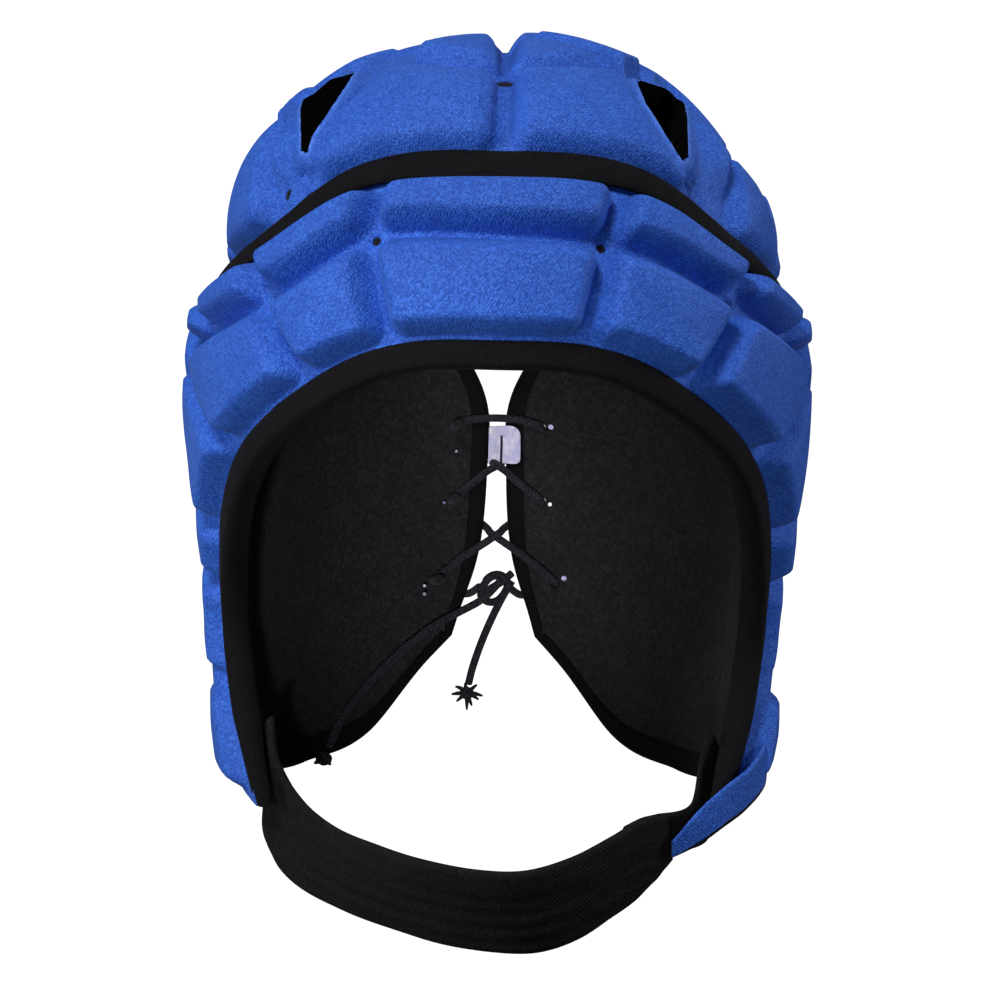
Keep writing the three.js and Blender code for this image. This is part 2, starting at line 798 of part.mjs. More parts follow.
// Prism through the wall over a short outline of places, for the crown's vents
function wallCutter(form, outline) {
  const middle = new THREE.Vector3();
  outline.forEach((place) => middle.add(direction(place.az, place.el)));
  const out = formNormal(form, middle);
  const reach = 25;
  const builder = new SolidBuilder();
  const low = [];
  const high = [];
  outline.forEach((place, k) => {
    const base = onForm(form, place, 0);
    low.push({ corner: builder.add(base.clone().addScaledVector(out, -reach)), along: k });
    high.push({ corner: builder.add(base.clone().addScaledVector(out, reach)), along: k });
  });
  low.push({ corner: low[0].corner, along: outline.length });
  high.push({ corner: high[0].corner, along: outline.length });
  builder.band(low, high);
  for (let k = 1; k < outline.length - 1; k += 1) {
    builder.faces.push([low[0].corner, low[k].corner, low[k + 1].corner]);
    builder.faces.push([high[0].corner, high[k + 1].corner, high[k].corner]);
  }
  return builder.geometry();
}

function holeCutter(form, place, radius) {
  const height = 30;
  const cylinder = new THREE.CylinderGeometry(radius, radius, height, CORD_SIDES, 1);
  const out = formNormal(form, direction(place.az, place.el));
  cylinder.applyQuaternion(new THREE.Quaternion().setFromUnitVectors(new THREE.Vector3(0, 1, 0), out));
  const centre = onForm(form, place, 2);
  cylinder.translate(centre.x, centre.y, centre.z);
  return weld(cylinder);
}

function weld(geometry) {
  const builder = new SolidBuilder();
  const seen = new Map();
  const position = geometry.getAttribute("position");
  const corner = (i) => {
    const point = new THREE.Vector3().fromBufferAttribute(position, i);
    const key = point.toArray().map((value) => value.toFixed(4)).join(",");
    if (!seen.has(key)) {
      seen.set(key, builder.add(point));
    }
    return seen.get(key);
  };
  const index = geometry.getIndex().array;
  for (let i = 0; i < index.length; i += 3) {
    const face = [corner(index[i]), corner(index[i + 1]), corner(index[i + 2])];
    if (new Set(face).size === 3) {
      builder.faces.push(face);
    }
  }
  return builder.geometry();
}

// Round cord along a smooth curve through its route
function cordGeometry(route, steps, radius) {
  const curve = new THREE.CatmullRomCurve3(route, false, "centripetal");
  const centres = curve.getSpacedPoints(steps);
  const sections = [];
  let side = new THREE.Vector3(0.3, 0.2, 0.9);
  centres.forEach((centre, i) => {
    const before = centres[Math.max(i - 1, 0)];
    const after = centres[Math.min(i + 1, centres.length - 1)];
    const tangent = after.clone().sub(before).normalize();
    side = side.clone().addScaledVector(tangent, -side.dot(tangent)).normalize();
    const up = new THREE.Vector3().crossVectors(tangent, side);
    const ring = [];
    for (let k = 0; k < CORD_SIDES; k += 1) {
      const angle = (2 * Math.PI * k) / CORD_SIDES;
      const point = centre.clone().addScaledVector(side, radius * Math.cos(angle));
      ring.push(point.addScaledVector(up, radius * Math.sin(angle)));
    }
    sections.push(ring);
  });
  return loftGeometry(sections, CORD_SIDES / 2);
}

// Lace: from the knot up the right, criss-crossed to the top bar and down the left to the knot again
const INSIDE = -3.0;
const OUTSIDE = 5.4;
const THROUGH = 1.6;
const LACE_ROUTE = [
  { az: 175.6, el: -47.4, height: -0.8 },
  { az: 174.9, el: -47.6, height: 2.2 },
  { az: 173.8, el: -47.6, height: 5 },
  { az: 171, el: -47.2, height: 5.9 },
  { az: 166.4, el: -45.8, height: OUTSIDE },
  { az: 165.6, el: -45.5, height: THROUGH },
  { az: 166.2, el: -45, height: INSIDE },
  { az: 172.5, el: -41.8, height: INSIDE },
  { az: 178, el: -39.4, height: INSIDE },
  { az: 180, el: -37.8, height: -2.4, leftBehind: 3.0 },
  { az: 180.8, el: -36.2, height: -0.6, leftBehind: 2.8 },
  { az: 181, el: -35, height: 3.2, leftBehind: 1.2 },
  { az: 182, el: -34.2, height: 5.8 },
  { az: 184.5, el: -33.6, height: 5.9 },
  { az: 189.2, el: -33.2, height: OUTSIDE },
  { az: 189.8, el: -33, height: THROUGH },
  { az: 189.2, el: -32.4, height: INSIDE },
  { az: 182.4, el: -28.4, height: INSIDE },
  { az: 180, el: -26.4, height: -2.4, leftBehind: 3.0 },
  { az: 179.3, el: -24.8, height: -0.4, leftBehind: 2.2 },
  { az: 179.1, el: -23.6, height: 3.4, leftBehind: 0.8 },
  { az: 178, el: -22.6, height: 5.7 },
  { az: 175, el: -21, height: 5.9 },
  { az: 171.6, el: -20, height: OUTSIDE },
  { az: 171.2, el: -19.6, height: THROUGH },
  { az: 171.6, el: -19.2, height: INSIDE },
  { az: 180, el: -18.5, height: -3.2 },
];
const LACE_STEPS = 70;

function laceRoute() {
  const right = LACE_ROUTE.map((spot) => onForm(WRAP_FORM, spot, spot.height));
  const left = LACE_ROUTE.slice(0, -1).map((spot) => {
    const height = spot.height - (spot.leftBehind ?? 0);
    return onForm(WRAP_FORM, { az: -spot.az, el: spot.el }, height);
  });
  return [...right, ...left.reverse()];
}

// Free tails of the lace, from the knot to their end knots
const LEFT_TAIL = [
  [2.4, 72.8, -167.0],
  [-3.6, 72.6, -173.4],
  [-11, 70.6, -177.4],
  [-19, 68, -181.4],
  [-30.5, 62, -189.8],
  [-40.4, 54, -199],
  [-47.6, 46, -208],
  [-50.6, 40.8, -214.6],
];
const RIGHT_TAIL = [
  [5.6, 72.8, -167.4],
  [1.8, 72.2, -174.4],
  [-3, 71.4, -185.4],
  [-6.4, 72.4, -196],
  [-7.6, 73.6, -201.6],
];
const LEFT_TAIL_KNOT = [-52.2, 38.9, -218.2];
const RIGHT_TAIL_KNOT = [-8.1, 73.8, -204.9];
const KNOT_CENTRE = [0, 75.6, -170.6];

function vectors(list) {
  return list.map((spot) => new THREE.Vector3(...spot));
}

function tailKnotGeometry(centre) {
  const lump = new THREE.SphereGeometry(TAIL_KNOT_RADIUS, 10, 7);
  lump.scale(1, 1, 0.95);
  lump.translate(...centre);
  return weld(lump);
}

function knotRingGeometry() {
  const ring = new THREE.TorusGeometry(KNOT_RING_RADIUS, CORD_RADIUS, CORD_SIDES, 14);
  ring.rotateX(Math.PI / 2);
  ring.translate(...KNOT_CENTRE);
  return weld(ring);
}

// Chin strap: upper and lower edges of its middle surface, from the left cheek round to its fastened end
const STRAP_START = [
  { upper: { az: -59, el: -51 }, lower: { az: -76, el: -55.5 }, height: -4.0 },
  { upper: { az: -57.5, el: -54.3 }, lower: { az: -73.5, el: -58.8 }, height: -4.0 },
];
const STRAP_EDGES = [
  { upper: [-54, -46, -207], lower: [-65.5, -34, -223] },
  { upper: [-44, -56, -212], lower: [-57, -43.5, -232] },
  { upper: [-32, -67, -213.6], lower: [-41, -56, -237] },
  { upper: [-19, -77, -214.6], lower: [-21, -66, -240.6] },
  { upper: [-3, -83, -215.6], lower: [1, -72, -243.2] },
  { upper: [10, -83, -215.6], lower: [15, -71.5, -243.2] },
  { upper: [23, -78, -213], lower: [26, -67.5, -240.5] },
  { upper: [34, -71, -209], lower: [36, -62.5, -235] },
  { upper: [43, -64, -205.5], lower: [46, -57, -228] },
  { upper: [50, -58, -205.5], lower: [52.5, -53, -221] },
];
const STRAP_STEPS = 36;

function strapRows() {
  const start = STRAP_START.map((row) => ({
    upper: onForm(WRAP_FORM, row.upper, row.height),
    lower: onForm(WRAP_FORM, row.lower, row.height),
  }));
  const rest = STRAP_EDGES.map((row) => ({
    upper: new THREE.Vector3(...row.upper),
    lower: new THREE.Vector3(...row.lower),
  }));
  return [...start, ...rest];
}

function bandAt(rows, t) {
  const upper = new THREE.CatmullRomCurve3(rows.map((row) => row.upper), false, "centripetal");
  const lower = new THREE.CatmullRomCurve3(rows.map((row) => row.lower), false, "centripetal");
  const step = 0.004;
  const ahead = Math.min(t + step, 1);
  const behind = Math.max(t - step, 0);
  const top = upper.getPoint(t);
  const bottom = lower.getPoint(t);
  const middleAhead = upper.getPoint(ahead).add(lower.getPoint(ahead));
  const middleBehind = upper.getPoint(behind).add(lower.getPoint(behind));
  const run = middleAhead.sub(middleBehind).normalize();
  const out = new THREE.Vector3().crossVectors(run, top.clone().sub(bottom)).normalize();
  return { top, bottom, out };
}

function bandGeometry(rows, steps, thickness) {
  const outline = [
    new THREE.Vector2(1, 1), new THREE.Vector2(0.5, 1), new THREE.Vector2(0, 1),
    new THREE.Vector2(0, -1), new THREE.Vector2(0.5, -1), new THREE.Vector2(1, -1),
  ];
  const sections = [];
  for (let i = 0; i <= steps; i += 1) {
    const { top, bottom, out } = bandAt(rows, i / steps);
    sections.push(outline.map((spot) => {
      const point = bottom.clone().lerp(top, spot.x);
      return point.addScaledVector(out, (spot.y * thickness) / 2);
    }));
  }
  return loftGeometry(sections, outline.length / 2);
}

// Tab of the right cheek: from inside the cheek tip to its end behind the strap's fastened end
const TAB_START = [
  { upper: { az: 59, el: -51.5 }, lower: { az: 75, el: -56 }, height: -4.2 },
  { upper: { az: 58, el: -54.2 }, lower: { az: 73, el: -59.2 }, height: -5.2 },
];
const TAB_MIDDLE = { upper: [57.8, -46.4, -206], lower: [63.2, -40.5, -218.6] };
const TAB_BEHIND_STRAP = [0.985, 0.93, 0.87];
const TAB_SET_BACK = 2.4;
const TAB_THICK = 1.8;
const TAB_STEPS = 14;

function tabRows() {
  const strap = strapRows();
  const start = TAB_START.map((row) => ({
    upper: onForm(WRAP_FORM, row.upper, row.height),
    lower: onForm(WRAP_FORM, row.lower, row.height),
  }));
  const middle = {
    upper: new THREE.Vector3(...TAB_MIDDLE.upper),
    lower: new THREE.Vector3(...TAB_MIDDLE.lower),
  };
  const behind = TAB_BEHIND_STRAP.map((t) => {
    const { top, bottom, out } = bandAt(strap, t);
    const upper = top.clone().lerp(bottom, 0.06).addScaledVector(out, -TAB_SET_BACK);
    const lower = bottom.clone().lerp(top, 0.08).addScaledVector(out, -TAB_SET_BACK);
    return { upper, lower };
  });
  return [...start, middle, ...behind];
}

// Care label in the laced gap
const LABEL_WIDTH = 10.3;
const LABEL_HEIGHT = 7.6;
const LABEL_CENTRE = [2.2, 86.9, -123.6];
const LABEL_TURN = 6;

function labelGeometry() {
  const label = new THREE.BoxGeometry(LABEL_WIDTH, LABEL_THICK, LABEL_HEIGHT);
  label.rotateZ(radians(LABEL_TURN));
  label.translate(...LABEL_CENTRE);
  return weld(label);
}

// Assembly
const group = new THREE.Group();
group.name = "head_guard";

const BLUE = { color: 0x2a5bc4, roughness: 0.85 };
const BLACK = { color: 0x16161a, roughness: 0.9 };
const CORD_BLACK = { color: 0x1b1b20, roughness: 0.8 };
const LABEL_WHITE = { color: 0xdfdde8, roughness: 0.7 };

function addPiece(name, geometry, finish) {
  const material = new THREE.MeshStandardMaterial({ ...finish, metalness: 0 });
  const mesh = new THREE.Mesh(geometry, material);
  mesh.name = name;
  geometry.computeVertexNormals();
  group.add(mesh);
}

const ventCutters = [-1, 1].map((side) => {
  const outline = CROWN_VENT.map((place) => ({ az: side * place.az, el: place.el }));
  return wallCutter(CROWN_FORM, outline);
});

function laceCutters(side) {
  return LACE_HOLES.map((place) => {
    return holeCutter(WRAP_FORM, { az: side * place.az, el: place.el }, LACE_HOLE_RADIUS);
  });
}

addPiece("front_panel", paddedGeometry(frontPanel), BLUE);
addPiece("crown_panel", cutAway(paddedGeometry(crownPanel), ventCutters), BLUE);
addPiece("back_panel_left", cutAway(paddedGeometry(backPanel(-1)), laceCutters(-1)), BLUE);
addPiece("back_panel_right", cutAway(paddedGeometry(backPanel(1)), laceCutters(1)), BLUE);
addPiece("front_lining", liningGeometry(frontPanel), BLACK);
addPiece("crown_lining", cutAway(liningGeometry(crownPanel), ventCutters), BLACK);
addPiece("back_lining_left", cutAway(liningGeometry(backPanel(-1)), laceCutters(-1)), BLACK);
addPiece("back_lining_right", cutAway(liningGeometry(backPanel(1)), laceCutters(1)), BLACK);
addPiece("seam_tape", seamTapeGeometry(), BLACK);
addPiece("face_binding", bindingGeometry(bindingOutline(BINDING_LEG), faceBindingStops()), BLACK);
const neckOutline = bindingOutline(NECK_BINDING_LEG);
addPiece("neck_binding_left", bindingGeometry(neckOutline, neckBindingStops(-1)), BLACK);
addPiece("neck_binding_right", bindingGeometry(neckOutline, neckBindingStops(1)), BLACK);
addPiece("chin_strap", bandGeometry(strapRows(), STRAP_STEPS, STRAP_THICK), BLACK);
addPiece("strap_tab", bandGeometry(tabRows(), TAB_STEPS, TAB_THICK), BLUE);
addPiece("lace", cordGeometry(laceRoute(), LACE_STEPS, CORD_RADIUS), CORD_BLACK);
addPiece("lace_knot", knotRingGeometry(), CORD_BLACK);
addPiece("lace_tail_left", cordGeometry(vectors(LEFT_TAIL), 18, CORD_RADIUS), CORD_BLACK);
addPiece("lace_tail_right", cordGeometry(vectors(RIGHT_TAIL), 10, CORD_RADIUS), CORD_BLACK);
addPiece("tail_knot_left", tailKnotGeometry(LEFT_TAIL_KNOT), CORD_BLACK);
addPiece("tail_knot_right", tailKnotGeometry(RIGHT_TAIL_KNOT), CORD_BLACK);
addPiece("care_label", labelGeometry(), LABEL_WHITE);

export default group;
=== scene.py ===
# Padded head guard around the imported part: fabric over foam pads, lining, tapes, strap, lace and label.
# Shapes are worked out in millimetres, as in the part's source, and made in metres.
import math

import bpy
import numpy as np
from mathutils import Matrix, Vector


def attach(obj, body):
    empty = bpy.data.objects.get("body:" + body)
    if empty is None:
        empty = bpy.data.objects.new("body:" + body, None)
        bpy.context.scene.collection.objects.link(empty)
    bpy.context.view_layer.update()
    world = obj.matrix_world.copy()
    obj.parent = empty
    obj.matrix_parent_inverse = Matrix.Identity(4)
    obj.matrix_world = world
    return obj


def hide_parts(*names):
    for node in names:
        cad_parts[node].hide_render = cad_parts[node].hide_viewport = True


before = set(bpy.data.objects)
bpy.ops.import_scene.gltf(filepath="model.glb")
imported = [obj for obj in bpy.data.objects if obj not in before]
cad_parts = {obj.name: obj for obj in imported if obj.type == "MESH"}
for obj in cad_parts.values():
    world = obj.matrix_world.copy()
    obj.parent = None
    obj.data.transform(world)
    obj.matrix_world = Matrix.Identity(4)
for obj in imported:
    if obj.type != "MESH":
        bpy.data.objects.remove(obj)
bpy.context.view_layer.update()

MM = 0.001

# Wall layers, measured outward from the lining's inner face
LINING_OUTER = 1.0
FOAM_INNER = 1.3
GROOVE_TOP = 4.0
LACED_STRIP_TOP = 2.6
WRAP_PAD_RISE = 7.6
CROWN_PAD_RISE = 5.0
CHEEK_BRIDGE_RISE = 4.2
# How much lower some pads of the sides are, by their cell's first groove
SIDE_TRIMS = {-7: 1.8, -6: 1.4, -5: 1.8, 4: 0.8, 5: 2.6}
PAD_SWELL = 1.4
SWELL_REACH = 9.0

# Pad edges and the flat margins along the panels' edges
GROOVE_HALF = 0.85
PAD_SHOULDER = 4.9
PAD_CORNER = 5.5
PAD_ROUNDNESS = 1.55
PAD_STEEPNESS = 0.95
FACE_FLANGE = 7.6
LEFT_CHEEK_FLANGE = 4.6
LEFT_CHEEK_FROM = -4
SEAM_FLANGE = 4.6
RIGHT_SEAM_FLANGE = 2.0
RIGHT_RING_FLANGE = 4.6
CENTRE_GROOVE_HALF = 1.9
SIDE_SEAM_FLANGE = 2.0
NECK_FLANGE = 4.2
LEFT_TIP_FLANGE = 1.6
APEX_FLAT = 3.0
TEMPLE_CLEARING = 5.6

# Tapes, strap, lace and label
TAPE_HALF = 4.6
TAPE_THICK = 1.0
TAPE_LIFT = 0.9
BINDING_LEG = 6.5
LEFT_CHEEK_LEG = 3.6
NECK_BINDING_LEG = 4.5
STRAP_THICK = 1.8
TAB_THICK = 1.8
CORD_RADIUS = 1.25
LACE_HOLE_RADIUS = 1.5
LACE_HOLE_REACH = 12.0
LACE_HOLE_SIDES = 20
PAINTED_LIGHT_HOLE_REACH = 9.0
PAINTED_LIGHT_HOLE_SIDES = 14

# Holes where grooves meet, made as dips painted near-black: painted shade of the hole over the black
# lining seen through it; NO_HOLE is their field's value away from them
HOLE_RADIUS = 1.35
HOLE_CLEARING = 3.9
HOLE_DIP = 2.4
HOLE_DIP_REACH = 1.1
NO_HOLE = 9.0
# Softness of the foam and of the cloth round the pads' edges
FOAM_LUMP_DEPTH = 0.45
FOAM_LUMP_SIZE = 16.0
FOAM_LUMP_IN_GROOVES = 0.25
CLOTH_LUMP_DEPTH = 0.09
CLOTH_LUMP_SIZE = 5.0
CLOTH_LUMP_AWAY = 0.2
LEAST_SKEW = 0.45
# Start of each piece's noise and of the end knots' draws
SEEDS = {
    "front": 11, "back": 31, "crown": 53, "lining": 77, "seam tape": 91, "face binding": 21,
    "strap": 65, "tab": 19, "label": 8, "left knot": 7, "right knot": 3,
}

# Head form under the panels below the seam tape, and the smaller, squarer form under the crown panel
WRAP_FORM = {
    "half_width": 80.0, "front": 97.0, "back": 99.0, "rise": 88.0,
    "plan": 2.15, "dome_front": 2.5, "dome_left": 2.0, "dome_right": 2.0,
    "taper_side": 0.09, "taper_back": 0.28,
}
CROWN_FORM = {
    "half_width": 70.0, "front": 80.5, "back": 86.0, "rise": 50.0,
    "plan": 2.4, "dome_front": 2.8, "dome_left": 2.15, "dome_right": 1.75,
    "taper_side": -0.6, "taper_back": -0.6,
}
TAPER_SOFTENING = 8.0
TAPER_PASSES = 12

# Seam between the crown and the panels below it, azimuth and elevation in degrees
SEAM = [(0, 40.5), (26.5, 38.3), (52, 27), (100, 12.5), (134, 8), (166, 5.5), (194, 5.5)]
SEAM_CORNER = 3
SEAM_LACE = 5
SIDE_SEAM = [(100, 12.5), (108, -10), (110, -30), (110, -49), (108, -60.8)]
FACE_EDGE = [
    (0, 9.9), (14.3, 8.9), (27.6, 2.9), (47.2, -11.3), (64, -30), (71, -39.5), (71, -47), (55, -57.4),
]
LAST_STATION = len(FACE_EDGE) - 1
NECK_EDGE = [(108, -60.8), (125, -61.4), (147, -60.5), (169.2, -52.6)]
LACED_EDGE = [(169.2, -52.6), (175.2, -42), (177, -27.5), (176.3, -13), (166, 5.5)]

# Grooves of the crown: azimuth at the seam and at the ring groove, and the ring groove's elevation
CROWN_SECTORS = [
    (0, 0, 46.5), (38, 44, 48.5), (46, 80, 49), (82, 100, 45),
    (114, 120, 44), (147, 148, 46), (180, 180, 48),
]
CROWN_LAST = len(CROWN_SECTORS) - 1
# Vents as seen from the front: corners across and up on an upright plane
LEFT_VENT = [(-55.1, -3.4), (-41.9, 0.2), (-53.5, -17.7), (-54.6, -22.2), (-56.3, -21.7), (-56.7, -9.9)]
RIGHT_VENT = [(36.4, 0.1), (49.4, -3.5), (51.0, -10.2), (51.6, -21.1), (50.0, -22.2), (39.4, -6.5)]
VENT_PLANE = -35.0
# Stretch in which a sight line is followed to the cloth, and the cloth's height at a vent's rim
VENT_FRONT = -90.0
VENT_BACK = 40.0
VENT_LEVEL = 7.0
VENT_EDGE_STEPS = 10
VENT_DEPTH_STEPS = 520
VENT_RIM_FLAT = 2.6
VENT_RIM_SLOPE = 3.4
VENT_CUT_IN = 24.0
VENT_CUT_OUT = 16.0
VENT_HEM = 0.9
VENT_HEM_RISE = 0.7
VENT_HEM_SPREAD = 1.6
# Raised field round a vent, lower in a strip beside the forehead; each edge has a start and a width
VENT_FIELD_RISE = 5.5
VENT_STRIP_RISE = 2.0
VENT_STRIP_EDGE = (1.45, 0.4)
VENT_FIELD_NEAR = (1.0, 0.25)
VENT_FIELD_FAR = (-2.0, 0.1)
VENT_FIELD_LOW = (0.14, 0.2)
VENT_FIELD_HIGH = (-1.0, 0.08)
RIGHT_SHOULDER_COLUMNS = (1, 3)
RIGHT_SHOULDER_ROWS = (0.82, 1.3)
RIGHT_SHOULDER_RISE = 8.0
LACE_HOLES = [(171.2, -19.6), (170.2, -33), (165.6, -45.5)]
# Slit in the back linings, drawn as a near-black patch that is painted shade of the opening: centre and
# half sizes
LINING_SLIT = (133.4, -35.6)
LINING_SLIT_HALF = np.array([0.8, 0.8, 1.7])
# Puckers of the crown's cloth below the vents: station and height of both ends, depth
PUCKERS = [
    ((-1.17, 0.27), (-1.04, 0.07), 1.9), ((-1.27, 0.22), (-1.2, 0.06), 1.5),
    ((-1.2, 0.24), (-1.76, 0.16), 1.8), ((-1.76, 0.16), (-1.9, 0.05), 1.6),
    ((1.0, 0.22), (1.12, 0.08), 1.6), ((1.2, 0.2), (1.3, 0.07), 1.4),
]
PUCKER_HALF = 0.9
# Holes of the crown, painted near-black as the holes' shade: station, height and radius
CROWN_HOLES = [(0, 0.99, 2.7), (-1.76, 0.16, 1.7)]
# Small pits beside the lace, floored with white label cloth as painted light showing through holes:
# azimuth, elevation, radius and depth
PAINTED_LIGHT_HOLES = [
    (169.4, -19.3, 0.9, 1.5), (168.4, -33.3, 0.6, 9), (163.9, -44.8, 0.9, 1.5),
    (-163.7, -46.2, 0.5, 1.5), (-163.6, -47.3, 0.55, 1.5),
    (-171.7, -24.2, 0.5, 1.5), (-168.9, -33.4, 0.45, 1.5),
]

FRONT_GROOVES = [-7, -6, -5, -4, -3, -2, -1, 1, 2, 3, 4, 5, 6, 7]
TEMPLE_GROOVE = 2.6
FRONT_MIDDLE = 0.64
CHEEK_BRIDGES = ((-7, -5), (5, 7))
# Grooves beside the middle pads as sewn: station at the face edge, at the row groove and at the seam
SEWN_GROOVES = [
    (-2, -2.0, -2.0, -2.0), (-1, -1.06, -0.98, -0.84), (0, -0.1, -0.1, 0.02),
    (1, 0.8, 0.78, 0.87), (2, 2.0, 2.0, 2.0),
]
# Drop of the groove between the front panel's two rows, by the groove that it meets
ROW_DROPS = [(-3, 0), (-2, 0.045), (-1, 0), (0, 0.025), (1, 0.042), (2, 0)]
# The cheeks' last groove as sewn lies lower by part of a station
CHEEK_GROOVE = 6
CHEEK_GROOVE_DROP = 0.25
BACK_COLUMNS = [0, 0.31, 0.6, 0.86]
BACK_ROWS = [0, 0.25, 0.5, 0.75, 1]
PETAL_GROOVES = [-6, -4, -1, 0, 1, 4, 6]
LEFT_CROWN_RING = 0.6
RIGHT_CROWN_RING = 0.48
# Rise of the crown's top pads at their two sides, from the back round the left to the back again
PETAL_RISES = [(3.0, 3.0), (2.6, 0.2), (8.4, 4.8), (4.0, 7.2), (8.0, 8.0), (5.5, 5.5)]
# Rise of the crown's side pads, from the temple round to the back
# Each row holds the left side's lower and upper pad, then the right side's
SIDE_PAD_RISES = [
    (5.0, 5.6, 5.0, 3.2), (5.0, 5.6, 6.0, 3.2), (5.0, 5.0, 6.2, 5.0), (5.0, 5.0, 5.0, 6.0),
]
CROWN_TOP = 1.97
APEX_GAP = 2.0


# Smooth curve through evenly numbered rows of values
def through(rows, x):
    rows = np.asarray(rows, float)
    x = np.asarray(x, float)
    last = len(rows) - 1
    i = np.clip(np.floor(x).astype(int), 0, last - 1)
    t = (x - i)[..., None]
    b = rows[i]
    c = rows[i + 1]
    a = np.where((i > 0)[..., None], rows[np.maximum(i - 1, 0)], 2 * b - c)
    d = np.where((i + 2 <= last)[..., None], rows[np.minimum(i + 2, last)], 2 * c - b)
    square = (2 * a - 5 * b + 4 * c - d) * t ** 2
    cube = (3 * b - a - 3 * c + d) * t ** 3
    return 0.5 * (2 * b + (c - a) * t + square + cube)


def unit(v):
    return v / (np.linalg.norm(v, axis=-1, keepdims=True) + 1e-12)


# Straight climb from 0 to 1 over a width
def ramp(value, start, width):
    return np.clip((value - start) / width, 0, 1)


def eased(t):
    return t * t * (3 - 2 * t)


def path_length(points):
    return np.linalg.norm(np.diff(points, axis=0), axis=1).sum()


# Head forms
def direction(az, el):
    a = np.radians(np.asarray(az, float))
    e = np.radians(np.asarray(el, float))
    return np.stack([np.cos(e) * np.sin(a), -np.cos(e) * np.cos(a), np.sin(e) + 0 * a], -1)


def form_radius(form, d):
    x, y, z = d[..., 0], d[..., 1], d[..., 2]
    level = np.hypot(x, y) + 1e-9
    depth = np.where(y < 0, form["front"], form["back"])
    across = np.abs(x) / level / form["half_width"]
    along = np.abs(y) / level / depth
    plan = (across ** form["plan"] + along ** form["plan"]) ** (-1 / form["plan"])
    lengthwise = (y / level) ** 2
    dome_side = np.where(x < 0, form["dome_left"], form["dome_right"])
    dome = dome_side + (form["dome_front"] - dome_side) * lengthwise
    upper = ((level / plan) ** dome + (np.abs(z) / form["rise"]) ** dome) ** (-1 / dome)
    rear = np.where(y > 0, lengthwise, 0)
    taper = form["taper_side"] + (form["taper_back"] - form["taper_side"]) * rear
    lower = plan / level
    for _ in range(TAPER_PASSES):
        drop = np.hypot(lower * z, TAPER_SOFTENING) - TAPER_SOFTENING
        lower = 0.5 * lower + 0.5 * plan * (1 - taper * drop / 100) / level
    return np.where(z >= 0, upper, lower)


def form_base(form, d):
    d = unit(d)
    return d * form_radius(form, d)[..., None] - np.array([0, 0, form["rise"]])


def form_normal(form, d):
    d = unit(d)
    steep = np.abs(d[..., 2:3]) < 0.9
    reference = np.where(steep, np.array([0, 0, 1.0]), np.array([1.0, 0, 0]))
    east = unit(np.cross(reference, d))
    north = np.cross(d, east)
    step = 0.01
    along_east = form_base(form, d + step * east) - form_base(form, d - step * east)
    along_north = form_base(form, d + step * north) - form_base(form, d - step * north)
    return unit(np.cross(along_east, along_north))


def on_form(form, az, el, height):
    d = direction(az, el)
    return form_base(form, d) + np.asarray(height, float)[..., None] * form_normal(form, d)


# Elevation reached by going up or down the form by a distance along its surface
def step_away(form, az, el, distance):
    start = on_form(form, az, el, np.zeros_like(az))
    first_guess = 3.0
    change = np.full_like(az, math.copysign(first_guess, distance))
    for _ in range(3):
        reached = on_form(form, az, el + change, np.zeros_like(az))
        change = change * abs(distance) / np.linalg.norm(reached - start, axis=-1)
    return el + change


# Places on the panels
FACE_ROWS = [(-az, el) for az, el in FACE_EDGE[:0:-1]] + FACE_EDGE
SEAM_ROWS = [(-SEAM[1][0], SEAM[1][1])] + SEAM


def seam_place(station):
    place = through(SEAM_ROWS, np.abs(station) + 1)
    return np.where(station < 0, -1, 1)[..., None] * place * [1, 0] + place * [0, 1]


SEAM_TABLE = seam_place(np.linspace(0, len(SEAM) - 1, 1201))


def seam_elevation(az):
    return np.interp(np.abs(az), SEAM_TABLE[:, 0], SEAM_TABLE[:, 1])


def crown_seam_elevation(az):
    point = on_form(WRAP_FORM, az, seam_elevation(az), np.zeros_like(az))
    level = np.hypot(point[..., 0], point[..., 1])
    return np.degrees(np.arctan2(point[..., 2] + CROWN_FORM["rise"], level))


def rim_place(station):
    side = through(SIDE_SEAM, np.clip(np.abs(station) - SEAM_CORNER, 0, None))
    side = side * np.stack([np.where(station < 0, -1, 1), np.ones_like(station)], -1)
    upper = seam_place(np.clip(station, -SEAM_CORNER, SEAM_CORNER))
    return np.where((np.abs(station) <= SEAM_CORNER)[..., None], upper, side)


def front_place(u, v):
    place = through(FACE_ROWS, u + LAST_STATION) * (1 - v)[..., None] + rim_place(u) * v[..., None]
    return place[..., 0], place[..., 1]


# Front panel with its grooves where they are sewn
def sewn_front_place(u, v):
    places, drops = np.array(ROW_DROPS).T
    dip = np.interp(u, places, drops)
    v = v - dip * np.where(v < FRONT_MIDDLE, v / FRONT_MIDDLE, (1 - v) / (1 - FRONT_MIDDLE))
    rows = np.array(SEWN_GROOVES)
    levels = [np.interp(u, rows[:, 0], rows[:, k]) for k in (1, 2, 3)]
    lower = ramp(v, 0, FRONT_MIDDLE)
    upper = ramp(v, FRONT_MIDDLE, 1 - FRONT_MIDDLE)
    low = levels[0] + (levels[1] - levels[0]) * lower
    station = low + (levels[2] - levels[1]) * upper
    lowered = u + np.sign(u) * CHEEK_GROOVE_DROP * np.clip(1 - np.abs(np.abs(u) - CHEEK_GROOVE), 0, 1)
    return front_place(np.where(np.abs(u) < 2, station, lowered), v)


